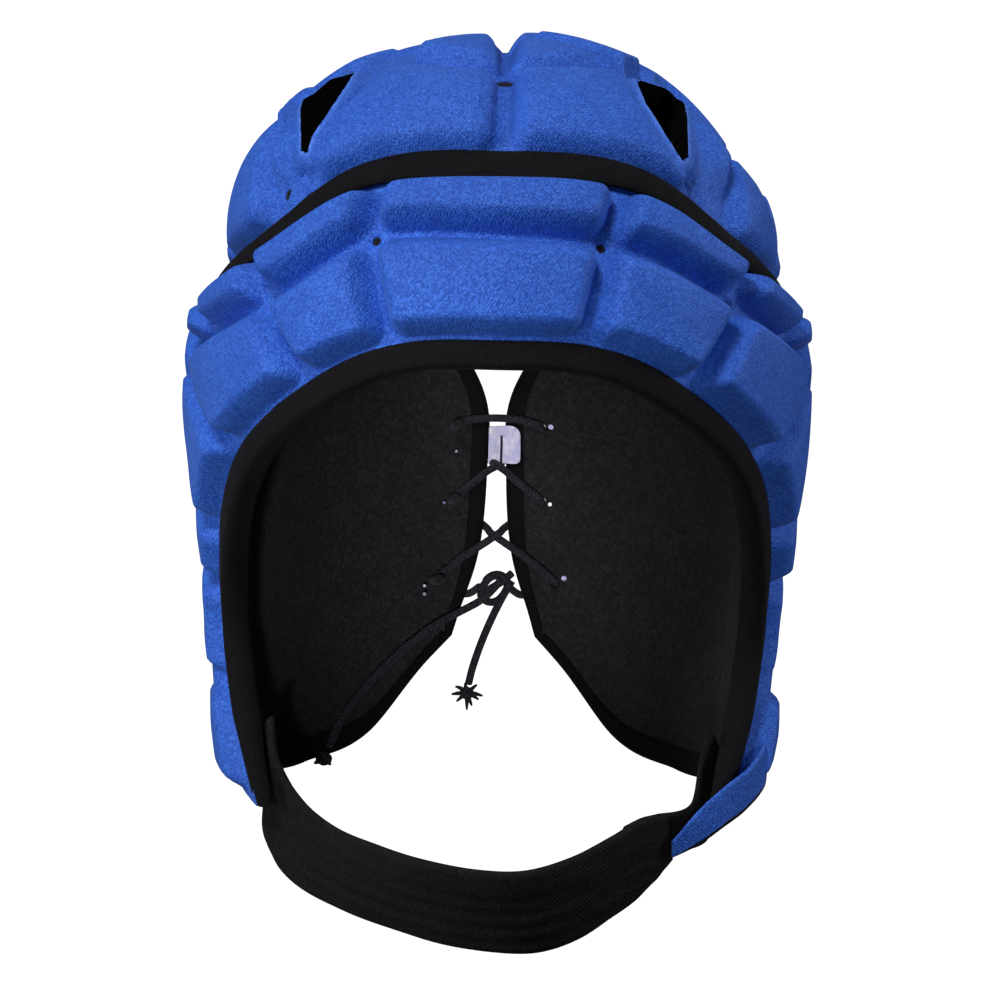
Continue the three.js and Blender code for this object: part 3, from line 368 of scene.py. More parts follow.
def back_place(p, q):
    rows = len(SIDE_SEAM) - 1
    bottom = through(NECK_EDGE, p * (len(NECK_EDGE) - 1))
    top = seam_place(SEAM_CORNER + p * (SEAM_LACE - SEAM_CORNER))
    fore = through(SIDE_SEAM, (1 - q) * rows)
    aft = through(LACED_EDGE, q * rows)
    p = p[..., None]
    q = q[..., None]
    low = np.array(NECK_EDGE[0]) * (1 - p) + np.array(NECK_EDGE[-1]) * p
    high = np.array(SIDE_SEAM[0]) * (1 - p) + np.array(LACED_EDGE[-1]) * p
    corners = low * (1 - q) + high * q
    place = bottom * (1 - q) + top * q + fore * (1 - p) + aft * p - corners
    return place[..., 0], place[..., 1]


def crown_place(u, v):
    table = np.array(CROWN_SECTORS, float)
    stations = np.arange(CROWN_LAST + 1)
    seam_az, ring_az, ring_el = (np.interp(np.abs(u), stations, table[:, k]) for k in range(3))
    low = np.minimum(v, 1)
    az = seam_az + (ring_az - seam_az) * low
    seam_el = crown_seam_elevation(seam_az)
    el = seam_el + (ring_el - seam_el) * low
    el = el + (90 - ring_el) * np.clip(v - 1, 0, 1)
    return np.where(u < 0, -az, az), el


# Gentle lumps of hand-sewn cloth: smooth noise on a lattice, the same on every run
def lattice_value(ix, iy, iz, seed):
    mask = np.uint64(0xFFFFFFFF)
    n = ix.astype(np.uint64) * np.uint64(374761393) + iy.astype(np.uint64) * np.uint64(668265263)
    n = (n + iz.astype(np.uint64) * np.uint64(2246822519) + np.uint64(seed * 3266489917)) & mask
    n = ((n ^ (n >> np.uint64(13))) * np.uint64(1274126177)) & mask
    n = n ^ (n >> np.uint64(16))
    return (n & np.uint64(0xFFFF)).astype(float) / 32767.5 - 1


def lumps(points, size, seed):
    spot = np.asarray(points, float) / size + 1000.0
    cell = np.floor(spot).astype(np.int64)
    t = eased(spot - cell)
    total = 0.0
    for dx in (0, 1):
        for dy in (0, 1):
            for dz in (0, 1):
                weight = np.where(dx, t[..., 0], 1 - t[..., 0])
                weight = weight * np.where(dy, t[..., 1], 1 - t[..., 1])
                weight = weight * np.where(dz, t[..., 2], 1 - t[..., 2])
                corner = (cell[..., 0] + dx, cell[..., 1] + dy, cell[..., 2] + dz)
                total = total + weight * lattice_value(*corner, seed)
    return total


# Distance of points from a straight line between two ends
def line_distance(points, first, last):
    run = last - first
    along = np.clip(np.sum((points - first) * run, axis=-1) / (np.sum(run * run) + 1e-9), 0, 1)
    return np.linalg.norm(points - first - along[..., None] * run, axis=-1)


# A panel laid out as rows of points; pads, holes and folds change its height off the head form
class PanelGrid:
    def __init__(self, form, place, us, vs, mirror=1):
        self.us = us
        self.vs = vs
        self.u, self.v = np.meshgrid(us, vs)
        az, el = place(self.u, self.v)
        self.az = mirror * az
        self.el = el
        d = direction(self.az, self.el)
        self.base = form_base(form, d)
        self.out = form_normal(form, d)
        flat = self.at(GROOVE_TOP)
        self.run_u = self.running_length(flat, 1)
        self.run_v = self.running_length(flat, 0)
        along_u = unit(np.gradient(flat, axis=1))
        along_v = unit(np.gradient(flat, axis=0))
        self.skew = np.clip(np.linalg.norm(np.cross(along_u, along_v), axis=-1), LEAST_SKEW, 1)
        self.flat = flat
        self.height = np.full(self.u.shape, GROOVE_TOP)
        self.cleared = np.full(self.u.shape, NO_HOLE)
        self.pad = np.zeros(self.u.shape)
        self.hole = np.full(self.u.shape, NO_HOLE)
        self.hem = None

    def at(self, height):
        return self.base + np.broadcast_to(height, self.u.shape)[..., None] * self.out

    @staticmethod
    def running_length(points, axis):
        steps = np.linalg.norm(np.diff(points, axis=axis), axis=-1)
        first = np.zeros_like(np.take(steps, [0], axis=axis))
        return np.concatenate([first, np.cumsum(steps, axis=axis)], axis=axis)

    # Raise one pad inside a cell; margins are the flat strips left, right, below and above it
    def add_pad(self, cell_u, cell_v, margins, rise):
        near = 1e-6
        side_rises = np.broadcast_to(rise, 2)
        cols = np.nonzero((self.us >= cell_u[0] - near) & (self.us <= cell_u[1] + near))[0]
        rows = np.nonzero((self.vs >= cell_v[0] - near) & (self.vs <= cell_v[1] + near))[0]
        block = np.ix_(rows, cols)
        skew = self.skew[block]
        run_u = self.run_u[block]
        run_v = self.run_v[block]
        left = (run_u - run_u[:, :1]) * skew - margins[0]
        right = (run_u[:, -1:] - run_u) * skew - margins[1]
        below = (run_v - run_v[:1]) * skew - margins[2]
        above = (run_v[-1:] - run_v) * skew - margins[3]
        across = np.minimum(left, right)
        along = np.minimum(below, above)
        rounded = PAD_CORNER - np.hypot(PAD_CORNER - across, PAD_CORNER - along)
        in_corner = (across < PAD_CORNER) & (along < PAD_CORNER)
        inside = np.where(in_corner, rounded, np.minimum(across, along))
        reach = np.clip(inside / PAD_SHOULDER, 0, 1)
        climb = (1 - (1 - reach) ** PAD_ROUNDNESS) ** PAD_STEEPNESS
        swell = PAD_SWELL * (1 - np.exp(-np.clip(inside, 0, None) / SWELL_REACH))
        height = GROOVE_TOP + np.interp(self.us[cols], cell_u, side_rises) * climb + swell
        self.height[block] = np.maximum(self.height[block], height)
        self.pad[block] = np.maximum(self.pad[block], climb)

    # Leave out a ring's last column, which lies on its first
    def close_ring(self):
        for name, values in list(vars(self).items()):
            if isinstance(values, np.ndarray) and values.ndim > 1:
                setattr(self, name, values[:, :-1])

    def nearest(self, u, v):
        return self.flat[np.argmin(np.abs(self.vs - v)), np.argmin(np.abs(self.us - u))]

    # Small hole, made as a dip that the cloth's material paints near-black as the hole's shade, over the
    # black lining seen through it
    def add_hole(self, u, v, radius=HOLE_RADIUS, clearing=HOLE_CLEARING):
        distance = np.linalg.norm(self.flat - self.nearest(u, v), axis=-1)
        self.hole = np.minimum(self.hole, distance / radius)
        self.cleared = np.minimum(self.cleared, distance / clearing)

    # Crease drawn into the cloth between two places
    def add_pucker(self, first, last, depth):
        distance = line_distance(self.flat, self.nearest(*first), self.nearest(*last))
        self.height -= depth * np.exp(-(distance / PUCKER_HALF) ** 2)

    # Low lumps of the foam and short puckers of the cloth round the pads' edges
    def add_softness(self, seed):
        foam = FOAM_LUMP_DEPTH * lumps(self.flat, FOAM_LUMP_SIZE, seed)
        self.height += foam * (FOAM_LUMP_IN_GROOVES + (1 - FOAM_LUMP_IN_GROOVES) * self.pad)
        flank = 4 * self.pad * (1 - self.pad)
        cloth = CLOTH_LUMP_DEPTH * lumps(self.flat, CLOTH_LUMP_SIZE, seed + 1)
        self.height += cloth * (CLOTH_LUMP_AWAY + flank)
        clear = 1 - np.exp(-self.cleared ** 4)
        self.height = GROOVE_TOP + (self.height - GROOVE_TOP) * clear
        self.height -= HOLE_DIP * np.exp(-(self.hole / HOLE_DIP_REACH) ** 2)

    def points(self):
        return self.at(self.height)


# Positions between listed stops, each stretch split so that neighbours lie about one spacing apart
def split_stops(stops, lengths, spacing):
    parts = []
    for first, last, length in zip(stops[:-1], stops[1:], lengths):
        count = max(int(round(length / spacing)), 2)
        parts.append(np.linspace(first, last, count, endpoint=False))
    return np.append(np.concatenate(parts), stops[-1])


def stretch_lengths(form, place, stops, other, along_u):
    lengths = []
    for first, last in zip(stops[:-1], stops[1:]):
        t = np.linspace(first, last, 24)
        fixed = np.full_like(t, other)
        az, el = place(t, fixed) if along_u else place(fixed, t)
        points = on_form(form, az, el, np.full_like(t, GROOVE_TOP))
        lengths.append(path_length(points))
    return lengths


# Mesh making; angles above which edges stay sharp, on made pieces and on cut ones
SMOOTH_ANGLE = math.radians(60)
CUT_SMOOTH_ANGLE = math.radians(50)


def turned_outward(points, faces):
    total = 0.0
    for face in faces:
        a = points[face[0]]
        for k in range(1, len(face) - 1):
            total += np.dot(a, np.cross(points[face[k]], points[face[k + 1]]))
    return faces if total > 0 else [face[::-1] for face in faces]


def make_piece(name, points, faces, materials, uv, fields=None):
    mesh = bpy.data.meshes.new(name)
    mesh.from_pydata((points * MM).tolist(), [], faces)
    mesh.update()
    layer = mesh.uv_layers.new(name="cloth")
    index = np.zeros(len(mesh.loops), np.int32)
    mesh.loops.foreach_get("vertex_index", index)
    layer.data.foreach_set("uv", np.asarray(uv, np.float32)[index].ravel())
    for field, values in (fields or {}).items():
        attribute = mesh.attributes.new(field, "FLOAT", "POINT")
        attribute.data.foreach_set("value", np.asarray(values, np.float32))
    piece = bpy.data.objects.new(name, mesh)
    bpy.context.scene.collection.objects.link(piece)
    for material in materials:
        mesh.materials.append(material)
    pick_only(piece)
    bpy.ops.object.shade_smooth_by_angle(angle=SMOOTH_ANGLE)
    return piece


def pick_only(piece):
    bpy.ops.object.select_all(action="DESELECT")
    piece.select_set(True)
    bpy.context.view_layer.objects.active = piece


def grid_faces(rows, cols, start, closed, turned):
    faces = []
    for i in range(rows - 1):
        for j in range(cols if closed else cols - 1):
            k = (j + 1) % cols
            a = start + i * cols + j
            b = start + i * cols + k
            c = start + (i + 1) * cols + k
            d = start + (i + 1) * cols + j
            faces.append((d, c, b, a) if turned else (a, b, c, d))
    return faces


# Wall between an outer grid and an inner grid with the same columns and no more rows
def shell(outer, inner, closed, apex, turned):
    rows, cols = outer.shape[:2]
    inner_rows = inner.shape[0]
    start = rows * cols
    points = [outer.reshape(-1, 3), inner.reshape(-1, 3)]
    faces = grid_faces(rows, cols, 0, closed, False)
    faces += grid_faces(inner_rows, cols, start, closed, True)
    outer_last = (rows - 1) * cols
    inner_last = start + (inner_rows - 1) * cols
    for j in range(cols if closed else cols - 1):
        k = (j + 1) % cols
        faces.append((start + j, start + k, k, j))
        if apex is None:
            faces.append((outer_last + j, outer_last + k, inner_last + k, inner_last + j))
    if apex is not None:
        top = start + inner_rows * cols
        points.append(np.array(apex))
        for j in range(cols):
            k = (j + 1) % cols
            faces.append((outer_last + j, outer_last + k, top))
            faces.append((inner_last + k, inner_last + j, top + 1))
    if not closed:
        left = [i * cols for i in range(rows)]
        left_in = [start + i * cols for i in range(inner_rows)]
        faces.append(tuple(left + left_in[::-1]))
        right = [i * cols + cols - 1 for i in range(rows)]
        right_in = [start + i * cols + cols - 1 for i in range(inner_rows)]
        faces.append(tuple(right_in + right[::-1]))
    if turned:
        faces = [face[::-1] for face in faces]
    return np.concatenate(points), faces


# Loft through like sections; it has end faces unless it runs round in a ring
def loft(sections, closed):
    sections = np.asarray(sections, float)
    count, ring = sections.shape[:2]
    faces = []
    for i in range(count if closed else count - 1):
        n = (i + 1) % count
        for k in range(ring):
            m = (k + 1) % ring
            faces.append((i * ring + k, i * ring + m, n * ring + m, n * ring + k))
    if not closed:
        faces.append(tuple(range(ring))[::-1])
        faces.append(tuple((count - 1) * ring + k for k in range(ring)))
    points = sections.reshape(-1, 3)
    return points, turned_outward(points, faces)


def loft_uv(sections):
    sections = np.asarray(sections, float)
    middle = sections.mean(axis=1)
    along = np.concatenate([[0], np.cumsum(np.linalg.norm(np.diff(middle, axis=0), axis=1))])
    steps = np.linalg.norm(np.diff(sections, axis=1), axis=2)
    around = np.concatenate([np.zeros((len(sections), 1)), np.cumsum(steps, axis=1)], axis=1)
    return np.stack([np.broadcast_to(along[:, None], around.shape), around], -1).reshape(-1, 2)


# One piece made of one loft or several
def lofted(name, blocks, materials, fields=None, closed=False):
    all_points = []
    all_faces = []
    start = 0
    for sections in blocks:
        points, faces = loft(sections, closed)
        all_points.append(points)
        all_faces.extend(tuple(start + k for k in face) for face in faces)
        start += len(points)
    uv = np.concatenate([loft_uv(sections) for sections in blocks])
    return make_piece(name, np.concatenate(all_points), all_faces, materials, uv, fields)


# What each piece says: the body that it rides on and the node that it replaces
def declare(piece, node):
    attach(piece, "root")
    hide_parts(node)


# Centripetal curve through points, as parameter stops from 0 to 1
def curve_points(points, t):
    points = np.asarray(points, float)
    before = 2 * points[0] - points[1]
    after = 2 * points[-1] - points[-2]
    padded = np.concatenate([[before], points, [after]])
    spot = np.clip(np.asarray(t, float), 0, 1) * (len(points) - 1)
    i = np.minimum(np.floor(spot).astype(int), len(points) - 2)
    w = (spot - i)[:, None]
    p0, p1, p2, p3 = (padded[i + k] for k in range(4))
    gap0, gap1, gap2 = (
        np.sqrt(np.linalg.norm(b - a, axis=1))[:, None] + 1e-9 for a, b in ((p0, p1), (p1, p2), (p2, p3))
    )
    t1 = ((p1 - p0) / gap0 - (p2 - p0) / (gap0 + gap1) + (p2 - p1) / gap1) * gap1
    t2 = ((p2 - p1) / gap1 - (p3 - p1) / (gap1 + gap2) + (p3 - p2) / gap2) * gap1
    square = -3 * p1 + 3 * p2 - 2 * t1 - t2
    cube = 2 * p1 - 2 * p2 + t1 + t2
    return p1 + t1 * w + square * w ** 2 + cube * w ** 3


def even_points(points, count):
    fine = curve_points(points, np.linspace(0, 1, 60 * len(points)))
    run = np.concatenate([[0], np.cumsum(np.linalg.norm(np.diff(fine, axis=0), axis=1))])
    wanted = np.linspace(0, run[-1], count)
    return np.stack([np.interp(wanted, run, fine[:, k]) for k in range(3)], -1)


# Round cord along a line of points; its radius may change along it
def tube_sections(centres, radius, sides):
    centres = np.asarray(centres, float)
    radius = np.broadcast_to(radius, (len(centres),))
    tangents = unit(np.gradient(centres, axis=0))
    side = np.array([0.31, 0.22, 0.92])
    angles = np.linspace(0, 2 * np.pi, sides, endpoint=False)
    sections = []
    for centre, tangent, size in zip(centres, tangents, radius):
        side = side - np.dot(side, tangent) * tangent
        side = side / np.linalg.norm(side)
        up = np.cross(tangent, side)
        ring = np.cos(angles)[:, None] * side + np.sin(angles)[:, None] * up
        sections.append(centre + size * ring)
    return np.array(sections)


# Cut a hole through a piece with a closed prism, which is then taken away
def cut_with(piece, cutter):
    pick_only(piece)
    bpy.ops.object.modifier_add(type="BOOLEAN")
    modifier = piece.modifiers[-1]
    modifier.operation = "DIFFERENCE"
    modifier.solver = "EXACT"
    modifier.object = cutter
    modifier.material_mode = "TRANSFER"
    bpy.ops.object.modifier_apply(modifier=modifier.name)
    pick_only(piece)
    bpy.ops.object.shade_smooth_by_angle(angle=CUT_SMOOTH_ANGLE)
    bpy.data.objects.remove(cutter, do_unlink=True)


# Node materials
def add_node(tree, kind, **settings):
    node = tree.nodes.new(kind)
    for key, value in settings.items():
        setattr(node, key, value)
    return node


def set_input(node, name, value):
    node.inputs[name].default_value = value


def math_node(tree, operation, first, second=None):
    node = add_node(tree, "ShaderNodeMath", operation=operation)
    for slot, value in enumerate((first, second)):
        if value is None:
            continue
        if isinstance(value, (int, float)):
            node.inputs[slot].default_value = value
        else:
            tree.links.new(value, node.inputs[slot])
    return node.outputs[0]


def mix_colours(tree, amount, first, second):
    node = add_node(tree, "ShaderNodeMix", data_type="RGBA")
    for slot, value in ((0, amount), (6, first), (7, second)):
        if isinstance(value, (tuple, float)):
            node.inputs[slot].default_value = value
        else:
            tree.links.new(value, node.inputs[slot])
    return node.outputs[2]


# Knit cloth: loops in space, so that steep flanks don't stretch them, and ribs on the piece's cloth map
KNIT_SOCKETS = (
    ("INPUT", ("Loops per mm", "Rib scale", "Rib weight")), ("OUTPUT", ("Height", "Speck", "Patch")),
)
RIB_SPECK = 0.35


def knit_group():
    group = bpy.data.node_groups.new("knit cloth", "ShaderNodeTree")
    for way, names in KNIT_SOCKETS:
        for socket in names:
            group.interface.new_socket(socket, in_out=way, socket_type="NodeSocketFloat")
    given = add_node(group, "NodeGroupInput")
    result = add_node(group, "NodeGroupOutput")
    place = add_node(group, "ShaderNodeUVMap", uv_map="cloth")
    turn = add_node(group, "ShaderNodeMapping")
    set_input(turn, "Rotation", (0, 0, math.radians(32)))
    group.links.new(place.outputs[0], turn.inputs["Vector"])
    space = add_node(group, "ShaderNodeTexCoord")
    loops = add_node(group, "ShaderNodeTexVoronoi", voronoi_dimensions="3D", feature="F1")
    set_input(loops, "Randomness", 0.8)
    group.links.new(space.outputs["Object"], loops.inputs["Vector"])
    loops_per_metre = math_node(group, "MULTIPLY", given.outputs["Loops per mm"], 1 / MM)
    group.links.new(loops_per_metre, loops.inputs["Scale"])
    dot = math_node(group, "SUBTRACT", 1.0, loops.outputs["Distance"])
    ribs = add_node(group, "ShaderNodeTexWave", wave_type="BANDS", bands_direction="X")
    set_input(ribs, "Distortion", 1.4)
    set_input(ribs, "Detail", 1.0)
    set_input(ribs, "Detail Scale", 0.6)
    group.links.new(turn.outputs[0], ribs.inputs["Vector"])
    group.links.new(given.outputs["Rib scale"], ribs.inputs["Scale"])
    split = add_node(group, "ShaderNodeSeparateColor")
    group.links.new(loops.outputs["Color"], split.inputs[0])
    patch = add_node(group, "ShaderNodeTexNoise", noise_dimensions="3D")
    set_input(patch, "Scale", 0.11 / MM)
    set_input(patch, "Detail", 3.0)
    group.links.new(space.outputs["Object"], patch.inputs["Vector"])
    rib = math_node(group, "MULTIPLY", ribs.outputs["Fac"], given.outputs["Rib weight"])
    group.links.new(math_node(group, "ADD", dot, rib), result.inputs["Height"])
    lit = math_node(group, "MULTIPLY", dot, split.outputs[0])
    rib_lit = math_node(group, "MULTIPLY", rib, RIB_SPECK)
    group.links.new(math_node(group, "ADD", lit, rib_lit), result.inputs["Speck"])
    group.links.new(patch.outputs["Fac"], result.inputs["Patch"])
    return group


KNIT = knit_group()


# A cloth's look; ribs are scale and weight, sheen is weight and tint
def knit_material(
    name, dark, light, loops, ribs, bump, roughness, sheen,
    specular=0.12, hole_shade_colour=None, hem_colour=None,
):
    material = bpy.data.materials.new(name)
    material.use_nodes = True
    tree = material.node_tree
    shader = tree.nodes["Principled BSDF"]
    set_input(shader, "Roughness", roughness)
    set_input(shader, "Sheen Weight", sheen[0])
    set_input(shader, "Sheen Roughness", 0.45)
    set_input(shader, "Sheen Tint", sheen[1])
    set_input(shader, "Specular IOR Level", specular)
    knit = add_node(tree, "ShaderNodeGroup", node_tree=KNIT)
    set_input(knit, "Loops per mm", loops)
    set_input(knit, "Rib scale", ribs[0])
    set_input(knit, "Rib weight", ribs[1])
    spread = add_node(tree, "ShaderNodeMapRange")
    set_input(spread, "From Min", 0.3)
    set_input(spread, "From Max", 0.75)
    set_input(spread, "To Min", 0.7)
    set_input(spread, "To Max", 1.15)
    tree.links.new(knit.outputs["Patch"], spread.inputs["Value"])
    amount = math_node(tree, "MULTIPLY", knit.outputs["Speck"], spread.outputs["Result"])
    colour = mix_colours(tree, amount, dark, light)
    if hem_colour is not None:
        hem = add_node(tree, "ShaderNodeAttribute", attribute_name="hem")
        colour = mix_colours(tree, hem.outputs["Fac"], colour, hem_colour)
    # Holes and slits drawn dark: painted shade of their openings
    if hole_shade_colour is not None:
        field = add_node(tree, "ShaderNodeAttribute", attribute_name="hole")
        edge = add_node(tree, "ShaderNodeMapRange")
        set_input(edge, "From Min", 0.85)
        set_input(edge, "From Max", 1.1)
        tree.links.new(field.outputs["Fac"], edge.inputs["Value"])
        colour = mix_colours(tree, edge.outputs["Result"], hole_shade_colour, colour)
    tree.links.new(colour, shader.inputs["Base Color"])
    relief = add_node(tree, "ShaderNodeBump")
    set_input(relief, "Strength", bump)
    set_input(relief, "Distance", 0.0004)
    tree.links.new(knit.outputs["Height"], relief.inputs["Height"])
    tree.links.new(relief.outputs[0], shader.inputs["Normal"])
    return material


# Painted shade for holes and slits drawn on the cloth rather than cut
HOLE_PAINTED_SHADE = (0.004, 0.004, 0.006, 1)
LINING_SLIT_PAINTED_SHADE = (0.0005, 0.0005, 0.001, 1)
LABEL_SLIT_PAINTED_SHADE = (0.02, 0.018, 0.05, 1)
HEM_BLUE = (0.09, 0.23, 0.8, 1)
BLUE_SHEEN = (0.35, 0.55, 1, 1)
GREY_SHEEN = (0.6, 0.6, 0.65, 1)
COOL_SHEEN = (0.6, 0.6, 0.7, 1)
PALE_SHEEN = (0.9, 0.9, 1, 1)
blue_cloth = knit_material(
    "blue knit cloth", (0.011, 0.06, 0.38, 1), (0.06, 0.218, 0.86, 1), loops=1.75, ribs=(0.42, 0.25),
    bump=0.55, roughness=0.6, sheen=(0.1, BLUE_SHEEN), specular=0.2, hole_shade_colour=HOLE_PAINTED_SHADE,
    hem_colour=HEM_BLUE,
)
black_cloth = knit_material(
    "black lining cloth", (0.0095, 0.0097, 0.011, 1), (0.03, 0.0305, 0.035, 1),
    loops=0.9, ribs=(0.26, 0.4), bump=0.5, roughness=0.85, sheen=(0.08, COOL_SHEEN),
    hole_shade_colour=LINING_SLIT_PAINTED_SHADE,
)
# Near-black for the vents' cut walls and the pads' inner faces seen through them: painted shade in the
# vents' hollows, darker than the black lining
vent_painted_shade = knit_material(
    "vent painted shade", (0.0012, 0.0012, 0.0014, 1), (0.003, 0.003, 0.0035, 1), loops=1.2, ribs=(0.3, 0.4),
    bump=0.2, roughness=0.95, sheen=(0.0, GREY_SHEEN), specular=0.02,
)
black_tape = knit_material(
    "black elastic tape", (0.0021, 0.002, 0.0028, 1), (0.0062, 0.0058, 0.0075, 1),
    loops=1.4, ribs=(0.5, 0.5), bump=0.5, roughness=0.85, sheen=(0.02, GREY_SHEEN),
)
black_strap = knit_material(
    "black strap cloth", (0.0045, 0.0044, 0.005, 1), (0.0125, 0.012, 0.0135, 1),
    loops=1.1, ribs=(0.32, 0.5), bump=0.6, roughness=0.85, sheen=(0.02, GREY_SHEEN),
)
black_cord = knit_material(
    "black braided cord", (0.01, 0.01, 0.014, 1), (0.05, 0.049, 0.064, 1), loops=1.6, ribs=(0.42, 0.55),
    bump=0.8, roughness=0.6, sheen=(0.1, COOL_SHEEN),
)
label_cloth = knit_material(
    "white label cloth", (0.5, 0.48, 0.78, 1), (0.95, 0.94, 1.0, 1), loops=0.55, ribs=(0.7, 0.5),
    bump=0.3, roughness=0.55, sheen=(0.1, PALE_SHEEN), hole_shade_colour=LABEL_SLIT_PAINTED_SHADE,
)


# Camera at the photograph's place
CAMERA_ELEVATION = math.radians(11.0)
CAMERA_ROLL = math.radians(1.2)
CAMERA_DISTANCE = 1000.0
CAMERA_LOOKS_AT = Vector((0.0, -15.0, -124.0))
CAMERA_LENS = 123.08
CAMERA_SHIFT = 0.004
CAMERA_SENSOR = 36.0
CAMERA_CLIP = 0.05

forward = Vector((0, math.cos(CAMERA_ELEVATION), -math.sin(CAMERA_ELEVATION)))
level = Vector((1, 0, 0))
upright = level.cross(forward)
right = level * math.cos(CAMERA_ROLL) + upright * math.sin(CAMERA_ROLL)
upward = upright * math.cos(CAMERA_ROLL) - level * math.sin(CAMERA_ROLL)
camera_data = bpy.data.cameras.new("camera")
camera_data.sensor_width = CAMERA_SENSOR
camera_data.lens = CAMERA_LENS
camera_data.shift_x = CAMERA_SHIFT
camera_data.clip_start = CAMERA_CLIP
camera = bpy.data.objects.new("camera", camera_data)
bpy.context.scene.collection.objects.link(camera)
turn = Matrix((right, upward, -forward)).transposed().to_4x4()
eye = CAMERA_LOOKS_AT - forward * CAMERA_DISTANCE
viewer = np.array(eye)
camera.matrix_world = Matrix.Translation(eye * MM) @ turn
bpy.context.scene.camera = camera


# Free tails of the lace: round cords that hang from the knot
LEFT_TAIL = [
    (2.4, 72.8, -167.0), (-3.6, 72.6, -173.4), (-11, 70.6, -177.4), (-19, 68, -181.4),
    (-30.5, 62, -189.8), (-40.4, 54, -199), (-47.6, 46, -208), (-50.6, 40.8, -214.6),
]
RIGHT_TAIL = [
    (5.6, 72.8, -167.4), (1.8, 72.2, -174.4), (-3, 71.4, -185.4), (-6.4, 72.4, -196), (-7.6, 73.6, -201.6),
]
LEFT_TAIL_KNOT = (-52.2, 38.9, -218.2)
RIGHT_TAIL_KNOT = (-8.1, 73.8, -204.9)
KNOT_CENTRE = (0, 75.6, -170.6)
KNOT_RING_RADIUS = 4.3
CORD_SIDES = 14


def make_cord(name, centres):
    return lofted(name, [tube_sections(centres, CORD_RADIUS, CORD_SIDES)], [black_cord])


# Frayed end knot: a lump of wound cord with short loose yarns sticking out
WOUND_TILTS = (0.3, 1.4, 2.5)
WOUND_STEPS = 60
WOUND_STEPS_KEPT = 57
WOUND_WAVE = 0.35
WOUND_CORD = 0.85 * CORD_RADIUS
WOUND_SIDES = 10
YARN_STEPS = 7
YARN_SIDES = 8
YARN_SWING = 8
YARN_LEAN = (-0.5, 0.3)
YARN_LENGTHS = (0.75, 1.1)
YARN_SAG = 0.25
YARN_ROOT = 0.25
YARN_TIP = 0.12


def make_end_knot(name, centre, lump_radius, yarns, squash, seed):
    yarn_angles, yarn_length, yarn_radius = yarns
    centre = np.array(centre, float)
    draw = np.random.default_rng(seed)
    blocks = []
    turns = np.linspace(0, 2 * np.pi, WOUND_STEPS)
    for tilt in WOUND_TILTS:
        wave = WOUND_WAVE * np.sin(3 * turns)
        ring = np.stack([np.cos(turns), np.sin(turns), wave], -1)
        lean = np.array([
            [1, 0, 0],
            [0, math.cos(tilt), -math.sin(tilt)],
            [0, math.sin(tilt), math.cos(tilt)],
        ])
        loop = centre + lump_radius * 0.5 * (ring[:WOUND_STEPS_KEPT] @ lean.T) * np.array(squash)
        blocks.append(tube_sections(loop, WOUND_CORD, WOUND_SIDES))
    for degrees in yarn_angles:
        angle = math.radians(degrees + draw.uniform(-YARN_SWING, YARN_SWING))
        tip = np.array([math.cos(angle), draw.uniform(*YARN_LEAN), math.sin(angle)])
        tip = tip * yarn_length * draw.uniform(*YARN_LENGTHS)
        bend = np.array([0, 0, -YARN_SAG * yarn_length * draw.uniform(0, 1)])
        steps = np.linspace(0, 1, YARN_STEPS)[:, None]
        line = centre + tip * (YARN_ROOT + (1 - YARN_ROOT) * steps) + bend * steps ** 2
        taper = np.sqrt(np.linspace(1, YARN_TIP, YARN_STEPS))
        blocks.append(tube_sections(line, yarn_radius * taper, YARN_SIDES))
    return lofted(name, blocks, [black_cord])


# Yarns are their angles, length and radius; tails are route, stations, knot, its radius, yarns and squash
LEFT_YARNS = ((205, 330, 100), 3.3, 1.15)
RIGHT_YARNS = ((10, 52, 95, 140, 185, 228, 265, 300, 335), 5.0, 0.85)
TAILS = {
    "left": (LEFT_TAIL, 64, LEFT_TAIL_KNOT, 2.6, LEFT_YARNS, (1.2, 0.9, 0.8)),
    "right": (RIGHT_TAIL, 36, RIGHT_TAIL_KNOT, 2.4, RIGHT_YARNS, (1, 0.8, 0.85)),
}
tail_paths = {word: even_points(*row[:2]) for word, row in TAILS.items()}
tails = {word: make_cord("lace_tail_cord_" + word, path) for word, path in tail_paths.items()}
for word, tail in tails.items():
    knot = make_end_knot("tail_knot_wound_" + word, *TAILS[word][2:], SEEDS[word + " knot"])
    declare(tail, "lace_tail_" + word)
    declare(knot, "tail_knot_" + word)


# Padded panels; rows are split by the lengths between their grooves
SPACING = 1.1
INNER_ROWS = 5
FRONT_ROW_LENGTHS = [66, 44]
CROWN_ROW_LENGTHS = [31, 8, 26, 62]
LACED_STRIP_STEP = 0.03


def cloth_map(grid, middle_column):
    across = grid.run_u - grid.run_u[:, middle_column:middle_column + 1]
    return np.stack([across, grid.run_v], -1)


def padded_piece(name, grid, uv, closed=False, apex=None, turned=False):
    outer = grid.points()
    inner = grid.at(FOAM_INNER)[np.linspace(0, len(grid.vs) - 1, INNER_ROWS).astype(int)]
    points, faces = shell(outer, inner, closed, apex, turned)
    extra = len(points) - uv.reshape(-1, 2).shape[0]
    full_uv = np.concatenate([uv.reshape(-1, 2), np.zeros((extra, 2))])
    fields = {"hole": np.concatenate([grid.hole.ravel(), np.full(extra, NO_HOLE)])}
    if grid.hem is not None:
        fields["hem"] = np.concatenate([grid.hem.ravel(), np.zeros(extra)])
    piece = make_piece(name, points, faces, [blue_cloth, vent_painted_shade], full_uv, fields)
    # Faces on the foam's inner side take the vents' painted shade
    first_inner = outer.shape[0] * outer.shape[1]
    for face in piece.data.polygons:
        face.material_index = 1 if min(face.vertices) >= first_inner else 0
    return piece


